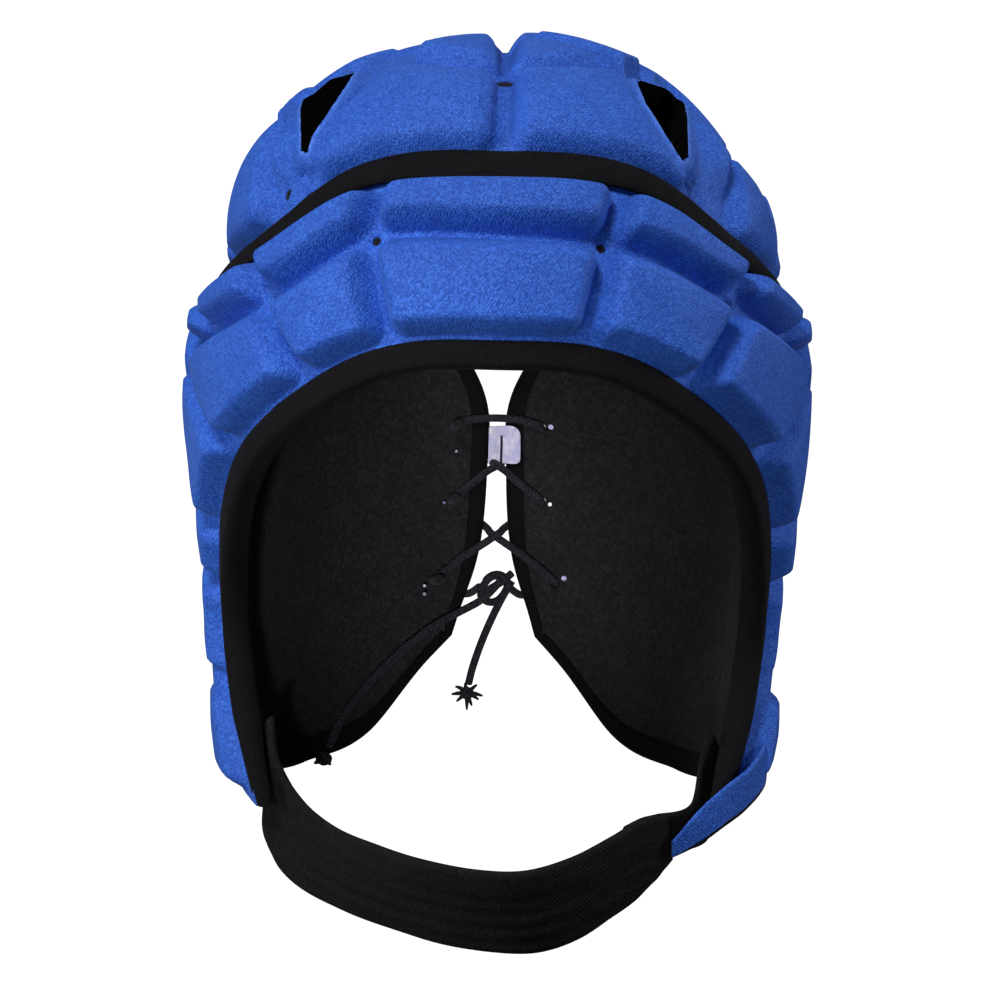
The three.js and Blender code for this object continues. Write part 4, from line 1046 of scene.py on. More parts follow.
# Front panel: two rows of pads that follow the face opening
front_stops = sorted(FRONT_GROOVES + [0, -TEMPLE_GROOVE, TEMPLE_GROOVE])
front_lengths = stretch_lengths(WRAP_FORM, sewn_front_place, front_stops, other=0.6, along_u=True)
front_us = split_stops(front_stops, front_lengths, SPACING)
front_vs = split_stops([0, FRONT_MIDDLE, 1], FRONT_ROW_LENGTHS, SPACING)
front = PanelGrid(WRAP_FORM, sewn_front_place, front_us, front_vs)


def cell_margins(stops, i, first, last):
    return (first if i == 0 else GROOVE_HALF, last if i == len(stops) - 2 else GROOVE_HALF)


for i in range(len(FRONT_GROOVES) - 1):
    cell = (FRONT_GROOVES[i], FRONT_GROOVES[i + 1])
    sides = cell_margins(FRONT_GROOVES, i, LEFT_TIP_FLANGE, NECK_FLANGE)
    flange = LEFT_CHEEK_FLANGE if cell[1] <= LEFT_CHEEK_FROM else FACE_FLANGE
    rise = WRAP_PAD_RISE - SIDE_TRIMS.get(cell[0], 0)
    front.add_pad(cell, (0, FRONT_MIDDLE), (*sides, flange, GROOVE_HALF), rise)
for cell in CHEEK_BRIDGES:
    for rows in ((0, FRONT_MIDDLE), (FRONT_MIDDLE, 1)):
        front.add_pad(cell, rows, (NECK_FLANGE, NECK_FLANGE, FACE_FLANGE, SEAM_FLANGE), CHEEK_BRIDGE_RISE)
upper_grooves = sorted(FRONT_GROOVES + [-TEMPLE_GROOVE, TEMPLE_GROOVE])
for i in range(len(upper_grooves) - 1):
    cell = (upper_grooves[i], upper_grooves[i + 1])
    sides = cell_margins(upper_grooves, i, NECK_FLANGE, NECK_FLANGE)
    rise = WRAP_PAD_RISE - SIDE_TRIMS.get(cell[0], 0)
    front.add_pad(cell, (FRONT_MIDDLE, 1), (*sides, GROOVE_HALF, SEAM_FLANGE), rise)
for groove in FRONT_GROOVES[1:-1]:
    front.add_hole(groove, FRONT_MIDDLE, clearing=TEMPLE_CLEARING if abs(groove) == 2 else HOLE_CLEARING)
front.add_softness(SEEDS["front"])
front_uv = cloth_map(front, int(np.argmin(np.abs(front_us))))
front_pads = padded_piece("front_pads", front, front_uv)

# Back panels: three columns and four rows of pads, then the flat strip that holds the lace
back_stops = BACK_COLUMNS + [1]
back_lengths = stretch_lengths(WRAP_FORM, back_place, back_stops, other=0.5, along_u=True)
back_us = split_stops(back_stops, back_lengths, SPACING)
back_heights = stretch_lengths(WRAP_FORM, back_place, BACK_ROWS, other=0.5, along_u=False)
back_vs = split_stops(BACK_ROWS, back_heights, SPACING)


SIDES = ((-1, "left"), (1, "right"))


def back_grid(side, seed):
    grid = PanelGrid(WRAP_FORM, back_place, back_us, back_vs, side)
    for i in range(len(BACK_COLUMNS) - 1):
        sides = cell_margins(BACK_COLUMNS, i, SIDE_SEAM_FLANGE, GROOVE_HALF)
        for j in range(len(BACK_ROWS) - 1):
            ends = cell_margins(BACK_ROWS, j, NECK_FLANGE, SEAM_FLANGE)
            cell = (BACK_COLUMNS[i], BACK_COLUMNS[i + 1])
            grid.add_pad(cell, (BACK_ROWS[j], BACK_ROWS[j + 1]), (*sides, *ends), WRAP_PAD_RISE)
    for i in (1, 2):
        for j in (1, 2, 3):
            grid.add_hole(BACK_COLUMNS[i], BACK_ROWS[j])
    grid.add_softness(seed)
    grid.height -= (GROOVE_TOP - LACED_STRIP_TOP) * ramp(grid.u, BACK_COLUMNS[-1], LACED_STRIP_STEP)
    return grid


def lace_hole_cutter(side, place):
    az = np.array(side * place[0], float)
    el = np.array(place[1], float)
    centre = on_form(WRAP_FORM, az, el, np.array(2.0))
    out = form_normal(WRAP_FORM, direction(az, el))
    ends = [centre - LACE_HOLE_REACH * out, centre + LACE_HOLE_REACH * out]
    tube = tube_sections(ends, LACE_HOLE_RADIUS, LACE_HOLE_SIDES)
    return lofted("lace_hole_cutter", [tube], [black_cloth])


# Shallow pit cut along the sight line, whose walls take the white label cloth: painted light showing
# through a hole
def painted_light_hole_cutter(az, el, radius, depth):
    centre = on_form(WRAP_FORM, np.array(float(az)), np.array(float(el)), np.array(1.0))
    sight = unit(centre - viewer)
    ends = [centre - PAINTED_LIGHT_HOLE_REACH * sight, centre + depth * sight]
    return lofted("painted_light_hole_cutter", [tube_sections(ends, radius, PAINTED_LIGHT_HOLE_SIDES)], [label_cloth])


def punch_back(piece, side):
    for place in LACE_HOLES:
        cut_with(piece, lace_hole_cutter(side, place))
    for az, el, radius, depth in PAINTED_LIGHT_HOLES:
        if az * side > 0:
            cut_with(piece, painted_light_hole_cutter(az, el, radius, depth))


back_pads = {}
for side, word in SIDES:
    grid = back_grid(side, SEEDS["back"] + side)
    uv = cloth_map(grid, 0)
    piece = padded_piece("back_pads_" + word, grid, uv, turned=side < 0)
    punch_back(piece, side)
    back_pads[word] = piece

# Crown panel: two rings of side pads, a tall pad at each side of the front groove, vents and top pads
crown_stops = list(range(-CROWN_LAST, CROWN_LAST + 1))
crown_lengths = stretch_lengths(CROWN_FORM, crown_place, crown_stops, other=0.4, along_u=True)
crown_us = split_stops(crown_stops, crown_lengths, SPACING)
crown_rows = [0, RIGHT_CROWN_RING, LEFT_CROWN_RING, 1, CROWN_TOP]
crown_vs = split_stops(crown_rows, CROWN_ROW_LENGTHS, SPACING)
crown = PanelGrid(CROWN_FORM, crown_place, crown_us, crown_vs)
for first in crown_stops[:-1]:
    cell = (first, first + 1)
    middle = abs(first + 0.5)
    sides = (GROOVE_HALF, GROOVE_HALF)
    if middle < 1:
        sides = (GROOVE_HALF, CENTRE_GROOVE_HALF) if first < 0 else (CENTRE_GROOVE_HALF, GROOVE_HALF)
        crown.add_pad(cell, (0, 1), (*sides, SEAM_FLANGE, GROOVE_HALF), CROWN_PAD_RISE)
    elif middle > 2:
        level_ring = LEFT_CROWN_RING if first < 0 else RIGHT_CROWN_RING
        rises = SIDE_PAD_RISES[int(middle) - 2]
        low, high = rises[:2] if first < 0 else rises[2:]
        flanges = (SEAM_FLANGE, GROOVE_HALF) if first < 0 else (RIGHT_SEAM_FLANGE, RIGHT_RING_FLANGE)
        crown.add_pad(cell, (0, level_ring), (*sides, *flanges), low)
        crown.add_pad(cell, (level_ring, 1), (*sides, GROOVE_HALF, GROOVE_HALF), high)
for first, last, rise in zip(PETAL_GROOVES[:-1], PETAL_GROOVES[1:], PETAL_RISES):
    margins = (GROOVE_HALF, GROOVE_HALF, GROOVE_HALF, APEX_FLAT)
    crown.add_pad((first, last), (1, CROWN_TOP), margins, rise)
crown.add_pad(RIGHT_SHOULDER_COLUMNS, RIGHT_SHOULDER_ROWS, [GROOVE_HALF] * 4, RIGHT_SHOULDER_RISE)
# The vents' fields stay up to their far rims, where they run into the next pads
station = np.abs(crown.u)
field = VENT_STRIP_RISE + (VENT_FIELD_RISE - VENT_STRIP_RISE) * ramp(station, *VENT_STRIP_EDGE)
field_edges = (
    (station, VENT_FIELD_NEAR), (-station, VENT_FIELD_FAR),
    (crown.v, VENT_FIELD_LOW), (-crown.v, VENT_FIELD_HIGH),
)
for value, edge in field_edges:
    field = field * eased(ramp(value, *edge))
crown.height = np.maximum(crown.height, GROOVE_TOP + field)
for hole in CROWN_HOLES:
    crown.add_hole(*hole)
for pucker in PUCKERS:
    crown.add_pucker(*pucker)
crown.add_softness(SEEDS["crown"])


# A vent's edges followed along the sight lines to the crown's cloth, with the cloth's direction out there
def vent_rim(outline):
    corners = np.array(outline)
    steps = np.linspace(0, 1, VENT_EDGE_STEPS, endpoint=False)[:, None]
    edges = [a + steps * (b - a) for a, b in zip(corners, np.roll(corners, -1, axis=0))]
    flat = np.concatenate(edges)
    marks = np.stack([flat[:, 0], np.full(len(flat), VENT_PLANE), flat[:, 1]], -1)
    depths = np.linspace(VENT_FRONT, VENT_BACK, VENT_DEPTH_STEPS)[:, None]
    reach = (depths - viewer[1]) / (marks[:, 1] - viewer[1])
    sight = viewer + (marks - viewer) * reach[..., None]
    d = unit(sight + np.array([0, 0, CROWN_FORM["rise"]]))
    out = form_normal(CROWN_FORM, d)
    over = np.sum((sight - form_base(CROWN_FORM, d)) * out, axis=-1)
    met = over < VENT_LEVEL
    first = np.where(np.any(met, axis=0), np.argmax(met, axis=0), np.argmin(over, axis=0))
    columns = np.arange(len(flat))
    return sight[first, columns], out[first, columns]


vent_rims = {"left": vent_rim(LEFT_VENT), "right": vent_rim(RIGHT_VENT)}
cloth = crown.at(VENT_LEVEL)
rim = np.full(crown.u.shape, np.inf)
for places, _ in vent_rims.values():
    for first, last in zip(places, np.roll(places, -1, axis=0)):
        rim = np.minimum(rim, line_distance(cloth, first, last))
away = eased(ramp(rim, VENT_RIM_FLAT, VENT_RIM_SLOPE))
crown.height = VENT_LEVEL + (crown.height - VENT_LEVEL) * away
crown.hem = np.exp(-(rim / VENT_HEM) ** 2)
crown.height += VENT_HEM_RISE * np.exp(-(rim / (VENT_HEM_SPREAD * VENT_HEM)) ** 2)
crown.close_ring()
to_apex = crown.run_v[-1:] + APEX_GAP - crown.run_v
azimuth = np.radians(crown.az)
crown_uv = np.stack([to_apex * np.sin(azimuth), -to_apex * np.cos(azimuth)], -1)
apex_place = (CROWN_FORM, np.array(0.0), np.array(90.0))
apex = (on_form(*apex_place, np.array(GROOVE_TOP)), on_form(*apex_place, np.array(FOAM_INNER)))
crown_pads = padded_piece("crown_pads", crown, crown_uv, closed=True, apex=apex)


# Both vents cut through a piece with blocks that follow their rims; the cut walls take the near-black
# painted shade
def cut_vents(piece):
    for places, out in vent_rims.values():
        sections = [places - VENT_CUT_IN * out, places + VENT_CUT_OUT * out]
        cut_with(piece, lofted("vent_cutter", [sections], [vent_painted_shade]))


cut_vents(crown_pads)
padded_nodes = (
    (front_pads, "front_panel"), (crown_pads, "crown_panel"),
    (back_pads["left"], "back_panel_left"), (back_pads["right"], "back_panel_right"),
)
for piece, node in padded_nodes:
    declare(piece, node)


# Linings: thin cloth inside each panel, with a few soft creases
LINING_SPACING = 2.2
CREASE_DEPTH = 0.35
CREASE_LIMIT = 0.3
CREASE_STRETCH = np.array([1 / 46, 1 / 46, 1 / 9])
LINING_HEIGHT = 110
CROWN_LINING_LENGTHS = [64, 62]


def lining_piece(name, grid, closed=False, turned=False, apex=None):
    crease = CREASE_DEPTH * lumps(grid.base * CREASE_STRETCH, 1.0, SEEDS["lining"])
    inner = grid.at(np.clip(crease, -CREASE_LIMIT, CREASE_LIMIT))
    outer = grid.at(LINING_OUTER)
    points, faces = shell(outer, inner, closed, apex, turned)
    uv = np.stack([grid.run_u, grid.run_v], -1).reshape(-1, 2)
    extra = len(points) - 2 * len(uv)
    full_uv = np.concatenate([uv, uv, np.zeros((extra, 2))])
    hole = np.concatenate([np.full(len(uv), NO_HOLE), grid.hole.ravel(), np.full(extra, NO_HOLE)])
    return make_piece(name, points, faces, [black_cloth], full_uv, {"hole": hole})


# Field of the lining's slit, which its material paints near-black as the opening's shade
def slit_field(grid, side):
    centre = on_form(WRAP_FORM, np.array(side * LINING_SLIT[0]), np.array(LINING_SLIT[1]), np.array(0.0))
    return np.linalg.norm((grid.base - centre) / LINING_SLIT_HALF, axis=-1)


linings = []
lining_us = split_stops(front_stops, front_lengths, LINING_SPACING)
lining_vs = split_stops([0, 1], [LINING_HEIGHT], LINING_SPACING)
linings.append((
    lining_piece("front_lining_cloth", PanelGrid(WRAP_FORM, front_place, lining_us, lining_vs)),
    "front_lining", front_pads,
))
lining_us = split_stops(back_stops, back_lengths, LINING_SPACING)
for side, word in SIDES:
    grid = PanelGrid(WRAP_FORM, back_place, lining_us, lining_vs, side)
    grid.hole = slit_field(grid, side)
    piece = lining_piece("back_lining_cloth_" + word, grid, turned=side < 0)
    punch_back(piece, side)
    linings.append((piece, "back_lining_" + word, back_pads[word]))
lining_us = split_stops(crown_stops, crown_lengths, LINING_SPACING)
lining_vs = split_stops([0, 1, CROWN_TOP], CROWN_LINING_LENGTHS, LINING_SPACING)
grid = PanelGrid(CROWN_FORM, crown_place, lining_us, lining_vs)
grid.close_ring()
apex = (on_form(*apex_place, np.array(LINING_OUTER)), on_form(*apex_place, np.array(0.0)))
piece = lining_piece("crown_lining_cloth", grid, closed=True, apex=apex)
cut_vents(piece)
linings.append((piece, "crown_lining", crown_pads))
for piece, node, carrier in linings:
    declare(piece, node)


# Seam tape all round the crown
TAPE_STATIONS = 288
TAPE_ACROSS = 9
TAPE_CREST = 0.3
TAPE_EDGE_DROP = 0.45
TAPE_EDGE_POWER = 6
TAPE_EDGE_THINNING = 1.2
TAPE_WEAVE = 0.12
TAPE_WEAVE_SIZE = 7.0


def seam_tape_sections():
    az = np.linspace(-180, 180, TAPE_STATIONS, endpoint=False)
    wrap_el = seam_elevation(az)
    crown_el = crown_seam_elevation(az)
    low_el = step_away(WRAP_FORM, az, wrap_el, -TAPE_HALF)
    high_el = step_away(CROWN_FORM, az, crown_el, TAPE_HALF)
    over = np.full_like(az, GROOVE_TOP + TAPE_LIFT + TAPE_THICK)
    high = on_form(CROWN_FORM, az, high_el, over)
    low = on_form(WRAP_FORM, az, low_el, over)
    wrap_seam = on_form(WRAP_FORM, az, wrap_el, over + TAPE_CREST)
    crown_seam = on_form(CROWN_FORM, az, crown_el, over + TAPE_CREST)
    out = form_normal(WRAP_FORM, direction(az, wrap_el))
    proud = np.sum((wrap_seam - crown_seam) * out, axis=1) > 0
    crest = np.where(proud[:, None], wrap_seam, crown_seam)
    pull = 2 * crest - 0.5 * (high + low)
    t = np.linspace(0, 1, TAPE_ACROSS)[None, :, None]
    top = high[:, None] * (1 - t) ** 2 + 2 * pull[:, None] * t * (1 - t) + low[:, None] * t ** 2
    slope = np.gradient(top, axis=1)
    around = np.gradient(top, axis=0)
    normal = unit(np.cross(slope, around))
    facing = np.sign(np.sum(normal * out[:, None], axis=-1, keepdims=True))
    normal = normal * facing
    edge = TAPE_EDGE_DROP * np.abs(2 * t - 1) ** TAPE_EDGE_POWER
    weave = TAPE_WEAVE * lumps(top, TAPE_WEAVE_SIZE, SEEDS["seam tape"])[..., None]
    top = top + normal * (weave - edge)
    under = top - normal * (TAPE_THICK - edge * TAPE_EDGE_THINNING)
    return np.concatenate([top, under[:, ::-1]], axis=1)


seam_tape = lofted("seam_tape_band", [seam_tape_sections()], [black_tape], closed=True)
declare(seam_tape, "seam_tape")


# Folded edge tape: rounded section as distance in from the edge and height off the lining
NOSE_POINTS = 11
NOSE_START = 0.5
NOSE_DEPTH = 2.3
BINDING_TOP = 5.65
BINDING_BOTTOM = -2.25
BINDING_MIDDLE = 1.7
BINDING_HALF = 3.95


def binding_outline(leg):
    turns = np.linspace(0.5 * np.pi, 1.5 * np.pi, NOSE_POINTS)
    nose = [
        (NOSE_START + NOSE_DEPTH * math.cos(a), BINDING_MIDDLE + BINDING_HALF * math.sin(a)) for a in turns
    ]
    outer = [(leg, 5.15), (leg - 0.4, 5.5), (0.7 * leg, BINDING_TOP), (0.35 * leg, BINDING_TOP)]
    inner = [(0.35 * leg, BINDING_BOTTOM), (0.7 * leg, BINDING_BOTTOM), (leg - 0.4, -2.15), (leg, -1.9)]
    back = [(leg, -1.35), (-0.6, -1.2), (-0.6, 4.5), (leg, 4.8)]
    return np.array(outer + nose + inner + back)


FACE_TAPE_STATIONS = 330
RUFFLE_DEPTH = 0.16
RUFFLE_SIZE = 9.0
# Stations at which the left cheek's tape narrows and both tips' tape thins: start and width
CHEEK_NARROWING = (4.0, 1.5)
TIP_THINNING = (6.5, 0.5)
TIP_THINNING_SHARE = 0.45


def face_binding_sections():
    us = np.linspace(-LAST_STATION, LAST_STATION, FACE_TAPE_STATIONS)
    probe = np.linspace(0, 1, 24)
    sections = []
    for u in us:
        narrowing = ramp(-u, *CHEEK_NARROWING)
        thinning = 1 - TIP_THINNING_SHARE * ramp(abs(u), *TIP_THINNING)
        outline = binding_outline(BINDING_LEG + (LEFT_CHEEK_LEG - BINDING_LEG) * narrowing)
        az, el = front_place(np.full_like(probe, u), probe)
        line = on_form(WRAP_FORM, az, el, np.full_like(probe, GROOVE_TOP))
        az, el = front_place(np.full(len(outline), u), outline[:, 0] / path_length(line))
        height = BINDING_MIDDLE + (outline[:, 1] - BINDING_MIDDLE) * thinning
        flat = on_form(WRAP_FORM, az, el, height)
        ruffle = RUFFLE_DEPTH * lumps(flat, RUFFLE_SIZE, SEEDS["face binding"])
        sections.append(on_form(WRAP_FORM, az, el, height + ruffle))
    return np.array(sections)


face_binding = lofted("face_binding_tape", [face_binding_sections()], [black_tape])
declare(face_binding, "face_binding")

# Neck tape of one side: along the cheek's lower edge, the neck edge and up the laced edge
# Spans are the first and the last place and the number of stations
CHEEK_TAPE_SPAN = (0.4, 0.96, 34)
NECK_TAPE_SPAN = (0.015, 0.95, 70)
LACED_TAPE_SPAN = (0.06, 0.925, 80)
LACED_TAPE_THINNING = 0.66
LACED_TAPE_THICKENING = (0.8, 0.06)
NECK_CORNER_IN = 0.8
NECK_CORNER_UP = 0.5
NECK_CORNER_THINNING = 0.8
LOW_ROW = BACK_ROWS[1]
LACED_STRIP = (BACK_COLUMNS[-1], 1)
LACED_STRIP_SHARE = 0.14


def line_length(place, u_pair, v_pair, side):
    t = np.linspace(0, 1, 12)
    u = u_pair[0] + (u_pair[1] - u_pair[0]) * t
    v = v_pair[0] + (v_pair[1] - v_pair[0]) * t
    az, el = place(u, v)
    return path_length(on_form(WRAP_FORM, side * az, el, np.full_like(t, GROOVE_TOP)))


def neck_binding_sections(side):
    outline = binding_outline(NECK_BINDING_LEG)
    inward = outline[:, 0]
    height = outline[:, 1]
    tip = float(LAST_STATION)
    sections = []
    for v in np.linspace(*CHEEK_TAPE_SPAN):
        depth = line_length(front_place, (tip, tip - 1), (v, v), side)
        az, el = front_place(tip - inward / depth, np.full_like(inward, v))
        sections.append(on_form(WRAP_FORM, side * az, el, height))
    for p in np.linspace(*NECK_TAPE_SPAN):
        depth = line_length(back_place, (p, p), (0, LOW_ROW), side) / LOW_ROW
        az, el = back_place(np.full_like(inward, p), inward / depth)
        sections.append(on_form(WRAP_FORM, side * az, el, height))
    depth = line_length(back_place, (1, 1), (0, LOW_ROW), side) / LOW_ROW
    width = line_length(back_place, LACED_STRIP, (0, 0), side) / LACED_STRIP_SHARE
    az, el = back_place(1 - NECK_CORNER_IN * inward / width, NECK_CORNER_UP * inward / depth)
    sections.append(on_form(WRAP_FORM, side * az, el, height * NECK_CORNER_THINNING))
    for q in np.linspace(*LACED_TAPE_SPAN):
        width = line_length(back_place, LACED_STRIP, (q, q), side) / LACED_STRIP_SHARE
        thinning = LACED_TAPE_THINNING + (1 - LACED_TAPE_THINNING) * ramp(q, *LACED_TAPE_THICKENING)
        az, el = back_place(1 - inward / width, np.full_like(inward, q))
        sections.append(on_form(WRAP_FORM, side * az, el, height * thinning))
    return np.array(sections)


for side, word in SIDES:
    piece = lofted("neck_binding_tape_" + word, [neck_binding_sections(side)], [black_tape])
    declare(piece, "neck_binding_" + word)


# Chin strap: upper and lower edges of its middle surface, from the left cheek round to its fastened end
STRAP_START = [
    ((-59, -51), (-76, -55.5), -4.0),
    ((-57.5, -54.3), (-73.5, -58.8), -4.0),
]
STRAP_EDGES = [
    ((-54, -46, -207), (-65.5, -34, -223)),
    ((-44, -56, -212), (-57, -43.5, -232)),
    ((-32, -67, -213.6), (-41, -56, -237)),
    ((-19, -77, -214.6), (-21, -66, -240.6)),
    ((-3, -83, -215.6), (1, -72, -243.2)),
    ((10, -83, -215.6), (15, -71.5, -243.2)),
    ((23, -78, -213), (26, -67.5, -240.5)),
    ((34, -71, -209), (36, -62.5, -235)),
    ((43, -64, -205.5), (46, -57, -228)),
    ((50, -58, -205.5), (52.5, -53, -221)),
]
STRAP_STATIONS = 150
STRAP_ACROSS = 25


def start_rows(rows):
    edges = []
    for upper, lower, height in rows:
        edges.append([
            on_form(WRAP_FORM, np.array(float(az)), np.array(float(el)), np.array(height))
            for az, el in (upper, lower)
        ])
    return edges


def strap_rows():
    rows = start_rows(STRAP_START)
    rows += [[np.array(upper, float), np.array(lower, float)] for upper, lower in STRAP_EDGES]
    return np.array(rows)


def band_lines(rows, t):
    upper = curve_points(rows[:, 0], t)
    lower = curve_points(rows[:, 1], t)
    run = unit(np.gradient(0.5 * (upper + lower), axis=0))
    out = unit(np.cross(run, upper - lower))
    return upper, lower, out


# Band with rounded edges; relief raises the outer face by distance below the upper edge
def band_sections(rows, stations, across, thickness, relief):
    t = np.linspace(0, 1, stations)
    upper, lower, out = band_lines(rows, t)
    width = np.linalg.norm(upper - lower, axis=1)[:, None]
    w = np.linspace(0, 1, across)[None, :]
    middle = upper[:, None] * (1 - w)[..., None] + lower[:, None] * w[..., None]
    rim = np.minimum(w, 1 - w) * width
    rounding = 1 - ramp(rim, 0, 0.9 * thickness)
    half = 0.5 * thickness * np.sqrt(np.clip(1 - rounding ** 2, 0.02, 1))
    raised = half + relief(t[:, None] + 0 * w, w * width, middle)
    front_face = middle + out[:, None] * raised[..., None]
    rear_face = middle - out[:, None] * half[..., None]
    return np.concatenate([front_face, rear_face[:, ::-1]], axis=1)


# Strap's outer face: a folded hem along the upper edge, ridges below it and soft lumps, less at both ends
STRAP_FADE_IN = 0.15
STRAP_FADE_OUT = 0.12
HEM_FOLD = 9.0
HEM_RISE = 0.5
HEM_STEP = 0.35
RIDGE_RISE = 0.28
RIDGE_SPACING = 5.2
RIDGE_FADE = 3
STRAP_LUMP_DEPTH = 0.35
STRAP_LUMP_SIZE = 5.0
STRAP_LUMP_STRETCH = np.array([0.35, 0.35, 1.0])


def strap_relief(t, down, middle):
    fade = ramp(t, 0, STRAP_FADE_IN) * ramp(-t, -1, STRAP_FADE_OUT)
    hem = HEM_RISE / (1 + np.exp((down - HEM_FOLD) / HEM_STEP))
    ridges = RIDGE_RISE * np.sin(2 * np.pi * down / RIDGE_SPACING + 1.5 * np.sin(9 * t))
    soft = STRAP_LUMP_DEPTH * lumps(middle * STRAP_LUMP_STRETCH, STRAP_LUMP_SIZE, SEEDS["strap"])
    return fade * (hem + ridges * ramp(down, HEM_FOLD, RIDGE_FADE) + soft)


strap_edges = strap_rows()
strap_band = band_sections(strap_edges, STRAP_STATIONS, STRAP_ACROSS, STRAP_THICK, strap_relief)
chin_strap = lofted("chin_strap_band", [strap_band], [black_strap])
declare(chin_strap, "chin_strap")

# Tab of the right cheek: from inside the cheek tip to its end behind the strap's fastened end
TAB_START = [
    ((59, -51.5), (75, -56), -4.2),
    ((58, -54.2), (73, -59.2), -5.2),
]
TAB_MIDDLE = ((57.8, -46.4, -206), (63.2, -40.5, -218.6))
TAB_BEHIND_STRAP = [0.985, 0.93, 0.87]
TAB_SET_BACK = 2.4
TAB_SET_DOWN = 0.06
TAB_SET_UP = 0.08
STRAP_FINE_STEPS = 250
TAB_LUMP_DEPTH = 0.15
TAB_LUMP_SIZE = 6.0


def tab_rows():
    rows = start_rows(TAB_START) + [[np.array(edge, float) for edge in TAB_MIDDLE]]
    upper, lower, out = band_lines(strap_edges, np.linspace(0, 1, STRAP_FINE_STEPS + 1))
    for t in TAB_BEHIND_STRAP:
        i = int(round(t * STRAP_FINE_STEPS))
        back = -TAB_SET_BACK * out[i]
        rows.append([
            upper[i] + TAB_SET_DOWN * (lower[i] - upper[i]) + back,
            lower[i] + TAB_SET_UP * (upper[i] - lower[i]) + back,
        ])
    return np.array(rows[::-1])


def tab_relief(_t, _down, middle):
    return TAB_LUMP_DEPTH * lumps(middle, TAB_LUMP_SIZE, SEEDS["tab"])


# Blue flap over the tab: upper and lower edges from its tip on the strap's end to the cheek's lowest pad
FLAP_EDGES = [
    ((52.4, -58.2, -213.4), (52.6, -56.4, -219)),
    ((60.0, -55.5, -204.8), (60.2, -54, -215.8)),
    ((67.2, -50.6, -199.4), (66.6, -50, -212.2)),
    ((74.2, -42.6, -196.0), (73.6, -42, -209.2)),
    ((79.0, -32, -192.8), (79.6, -31, -205.6)),
    ((80.4, -25, -190.8), (81, -24, -202.2)),
]
TAB_ACROSS = 17
TAB_STATIONS = 70
FLAP_THICK = 1.2
FLAP_RIM_FROM = 14
tab_band = band_sections(tab_rows(), TAB_STATIONS, TAB_ACROSS, TAB_THICK, tab_relief)
flap_band = band_sections(np.array(FLAP_EDGES, float), TAB_STATIONS, TAB_ACROSS, FLAP_THICK, tab_relief)
ring = 2 * TAB_ACROSS
flap_start = TAB_STATIONS * ring
no_holes = {"hole": np.full(2 * flap_start, NO_HOLE)}
strap_tab = lofted("strap_tab_band", [tab_band, flap_band], [black_strap, blue_cloth], no_holes)
# The flap is blue apart from a black rim along its lower edge
for face in strap_tab.data.polygons:
    if min(face.vertices) >= flap_start:
        place = min(k % ring for k in face.vertices)
        face.material_index = 1 if place < FLAP_RIM_FROM or place >= TAB_ACROSS else 0
declare(strap_tab, "strap_tab")


# Lace: from the knot up the right, criss-crossed to the top bar and down the left to the knot again
INSIDE = -3.0
OUTSIDE = 5.4
THROUGH = 1.6
# Rows are azimuth, elevation, height, and how far the left strand passes behind the right one
LACE_ROUTE = [
    (176.4, -46.6, -2.0, 0), (174.9, -47.2, 2.2, 0), (173.8, -47.4, 5, 0), (171, -47.2, 5.9, 0),
    (166.4, -45.8, OUTSIDE, 0), (165.6, -45.5, THROUGH, 0), (166.2, -45, INSIDE, 0),
    (172.5, -42.3, INSIDE, 0), (178, -40, INSIDE, 0), (180, -39.1, -2.4, 3.0),
    (181.2, -38.4, -0.4, 2.8), (181.6, -37.8, 3.0, 1.2), (182.6, -37.0, 5.7, 0), (185, -35.6, 5.9, 0),
    (189.2, -33.3, OUTSIDE, 0), (189.8, -33, THROUGH, 0), (189.2, -32.4, INSIDE, 0),
    (184.6, -29.8, INSIDE, 0), (182.0, -28.0, -2.8, 1.0), (180, -27.0, -2.4, 3.0),
    (178.9, -26.2, -0.4, 2.2), (178.5, -25.5, 3.2, 0.8), (177.6, -24.6, 5.7, 0),
    (175, -22.2, 5.9, 0), (171.6, -20, OUTSIDE, 0),
    (171.2, -19.6, THROUGH, 0), (171.6, -19.2, INSIDE, 0), (175, -18.4, -3.2, 0), (180, -18.1, -3.2, 0),
]
LACE_STATIONS = 420


def lace_points():
    right_half = np.array(LACE_ROUTE, float)
    left_half = right_half[:-1].copy()
    left_half[:, 2] -= left_half[:, 3]
    left_half[:, 0] *= -1
    spots = np.concatenate([right_half, left_half[::-1]])
    return on_form(WRAP_FORM, spots[:, 0], spots[:, 1], spots[:, 2])


lace = make_cord("lace_cord", even_points(lace_points(), LACE_STATIONS))
declare(lace, "lace")

# Knot that ties the lace: a loop wound over itself
KNOT_STRAND = [
    (5.6, 76.4, -165.6), (2.4, 74.4, -168), (-1.6, 74, -170.6), (-4.6, 75.6, -173.4),
]
KNOT_TURNS = 1.3
KNOT_OVAL = 0.7
KNOT_DEPTH = 1.3
KNOT_SQUASH = 0.95
KNOT_START = 0.6
turns = np.linspace(0, 2 * KNOT_TURNS * np.pi, 100)
spread = KNOT_RING_RADIUS + KNOT_OVAL * np.cos(2 * (turns - 0.4))
loop = np.array(KNOT_CENTRE) + np.stack([
    spread * np.cos(turns + KNOT_START),
    KNOT_DEPTH * (turns / turns[-1] - 0.5) * 2,
    KNOT_SQUASH * spread * np.sin(turns + KNOT_START),
], -1)
knot_lines = (loop, even_points(KNOT_STRAND, 30))
knot_tubes = [tube_sections(line, CORD_RADIUS, CORD_SIDES) for line in knot_lines]
lace_knot = lofted("lace_knot_loop", knot_tubes, [black_cord])
declare(lace_knot, "lace_knot")


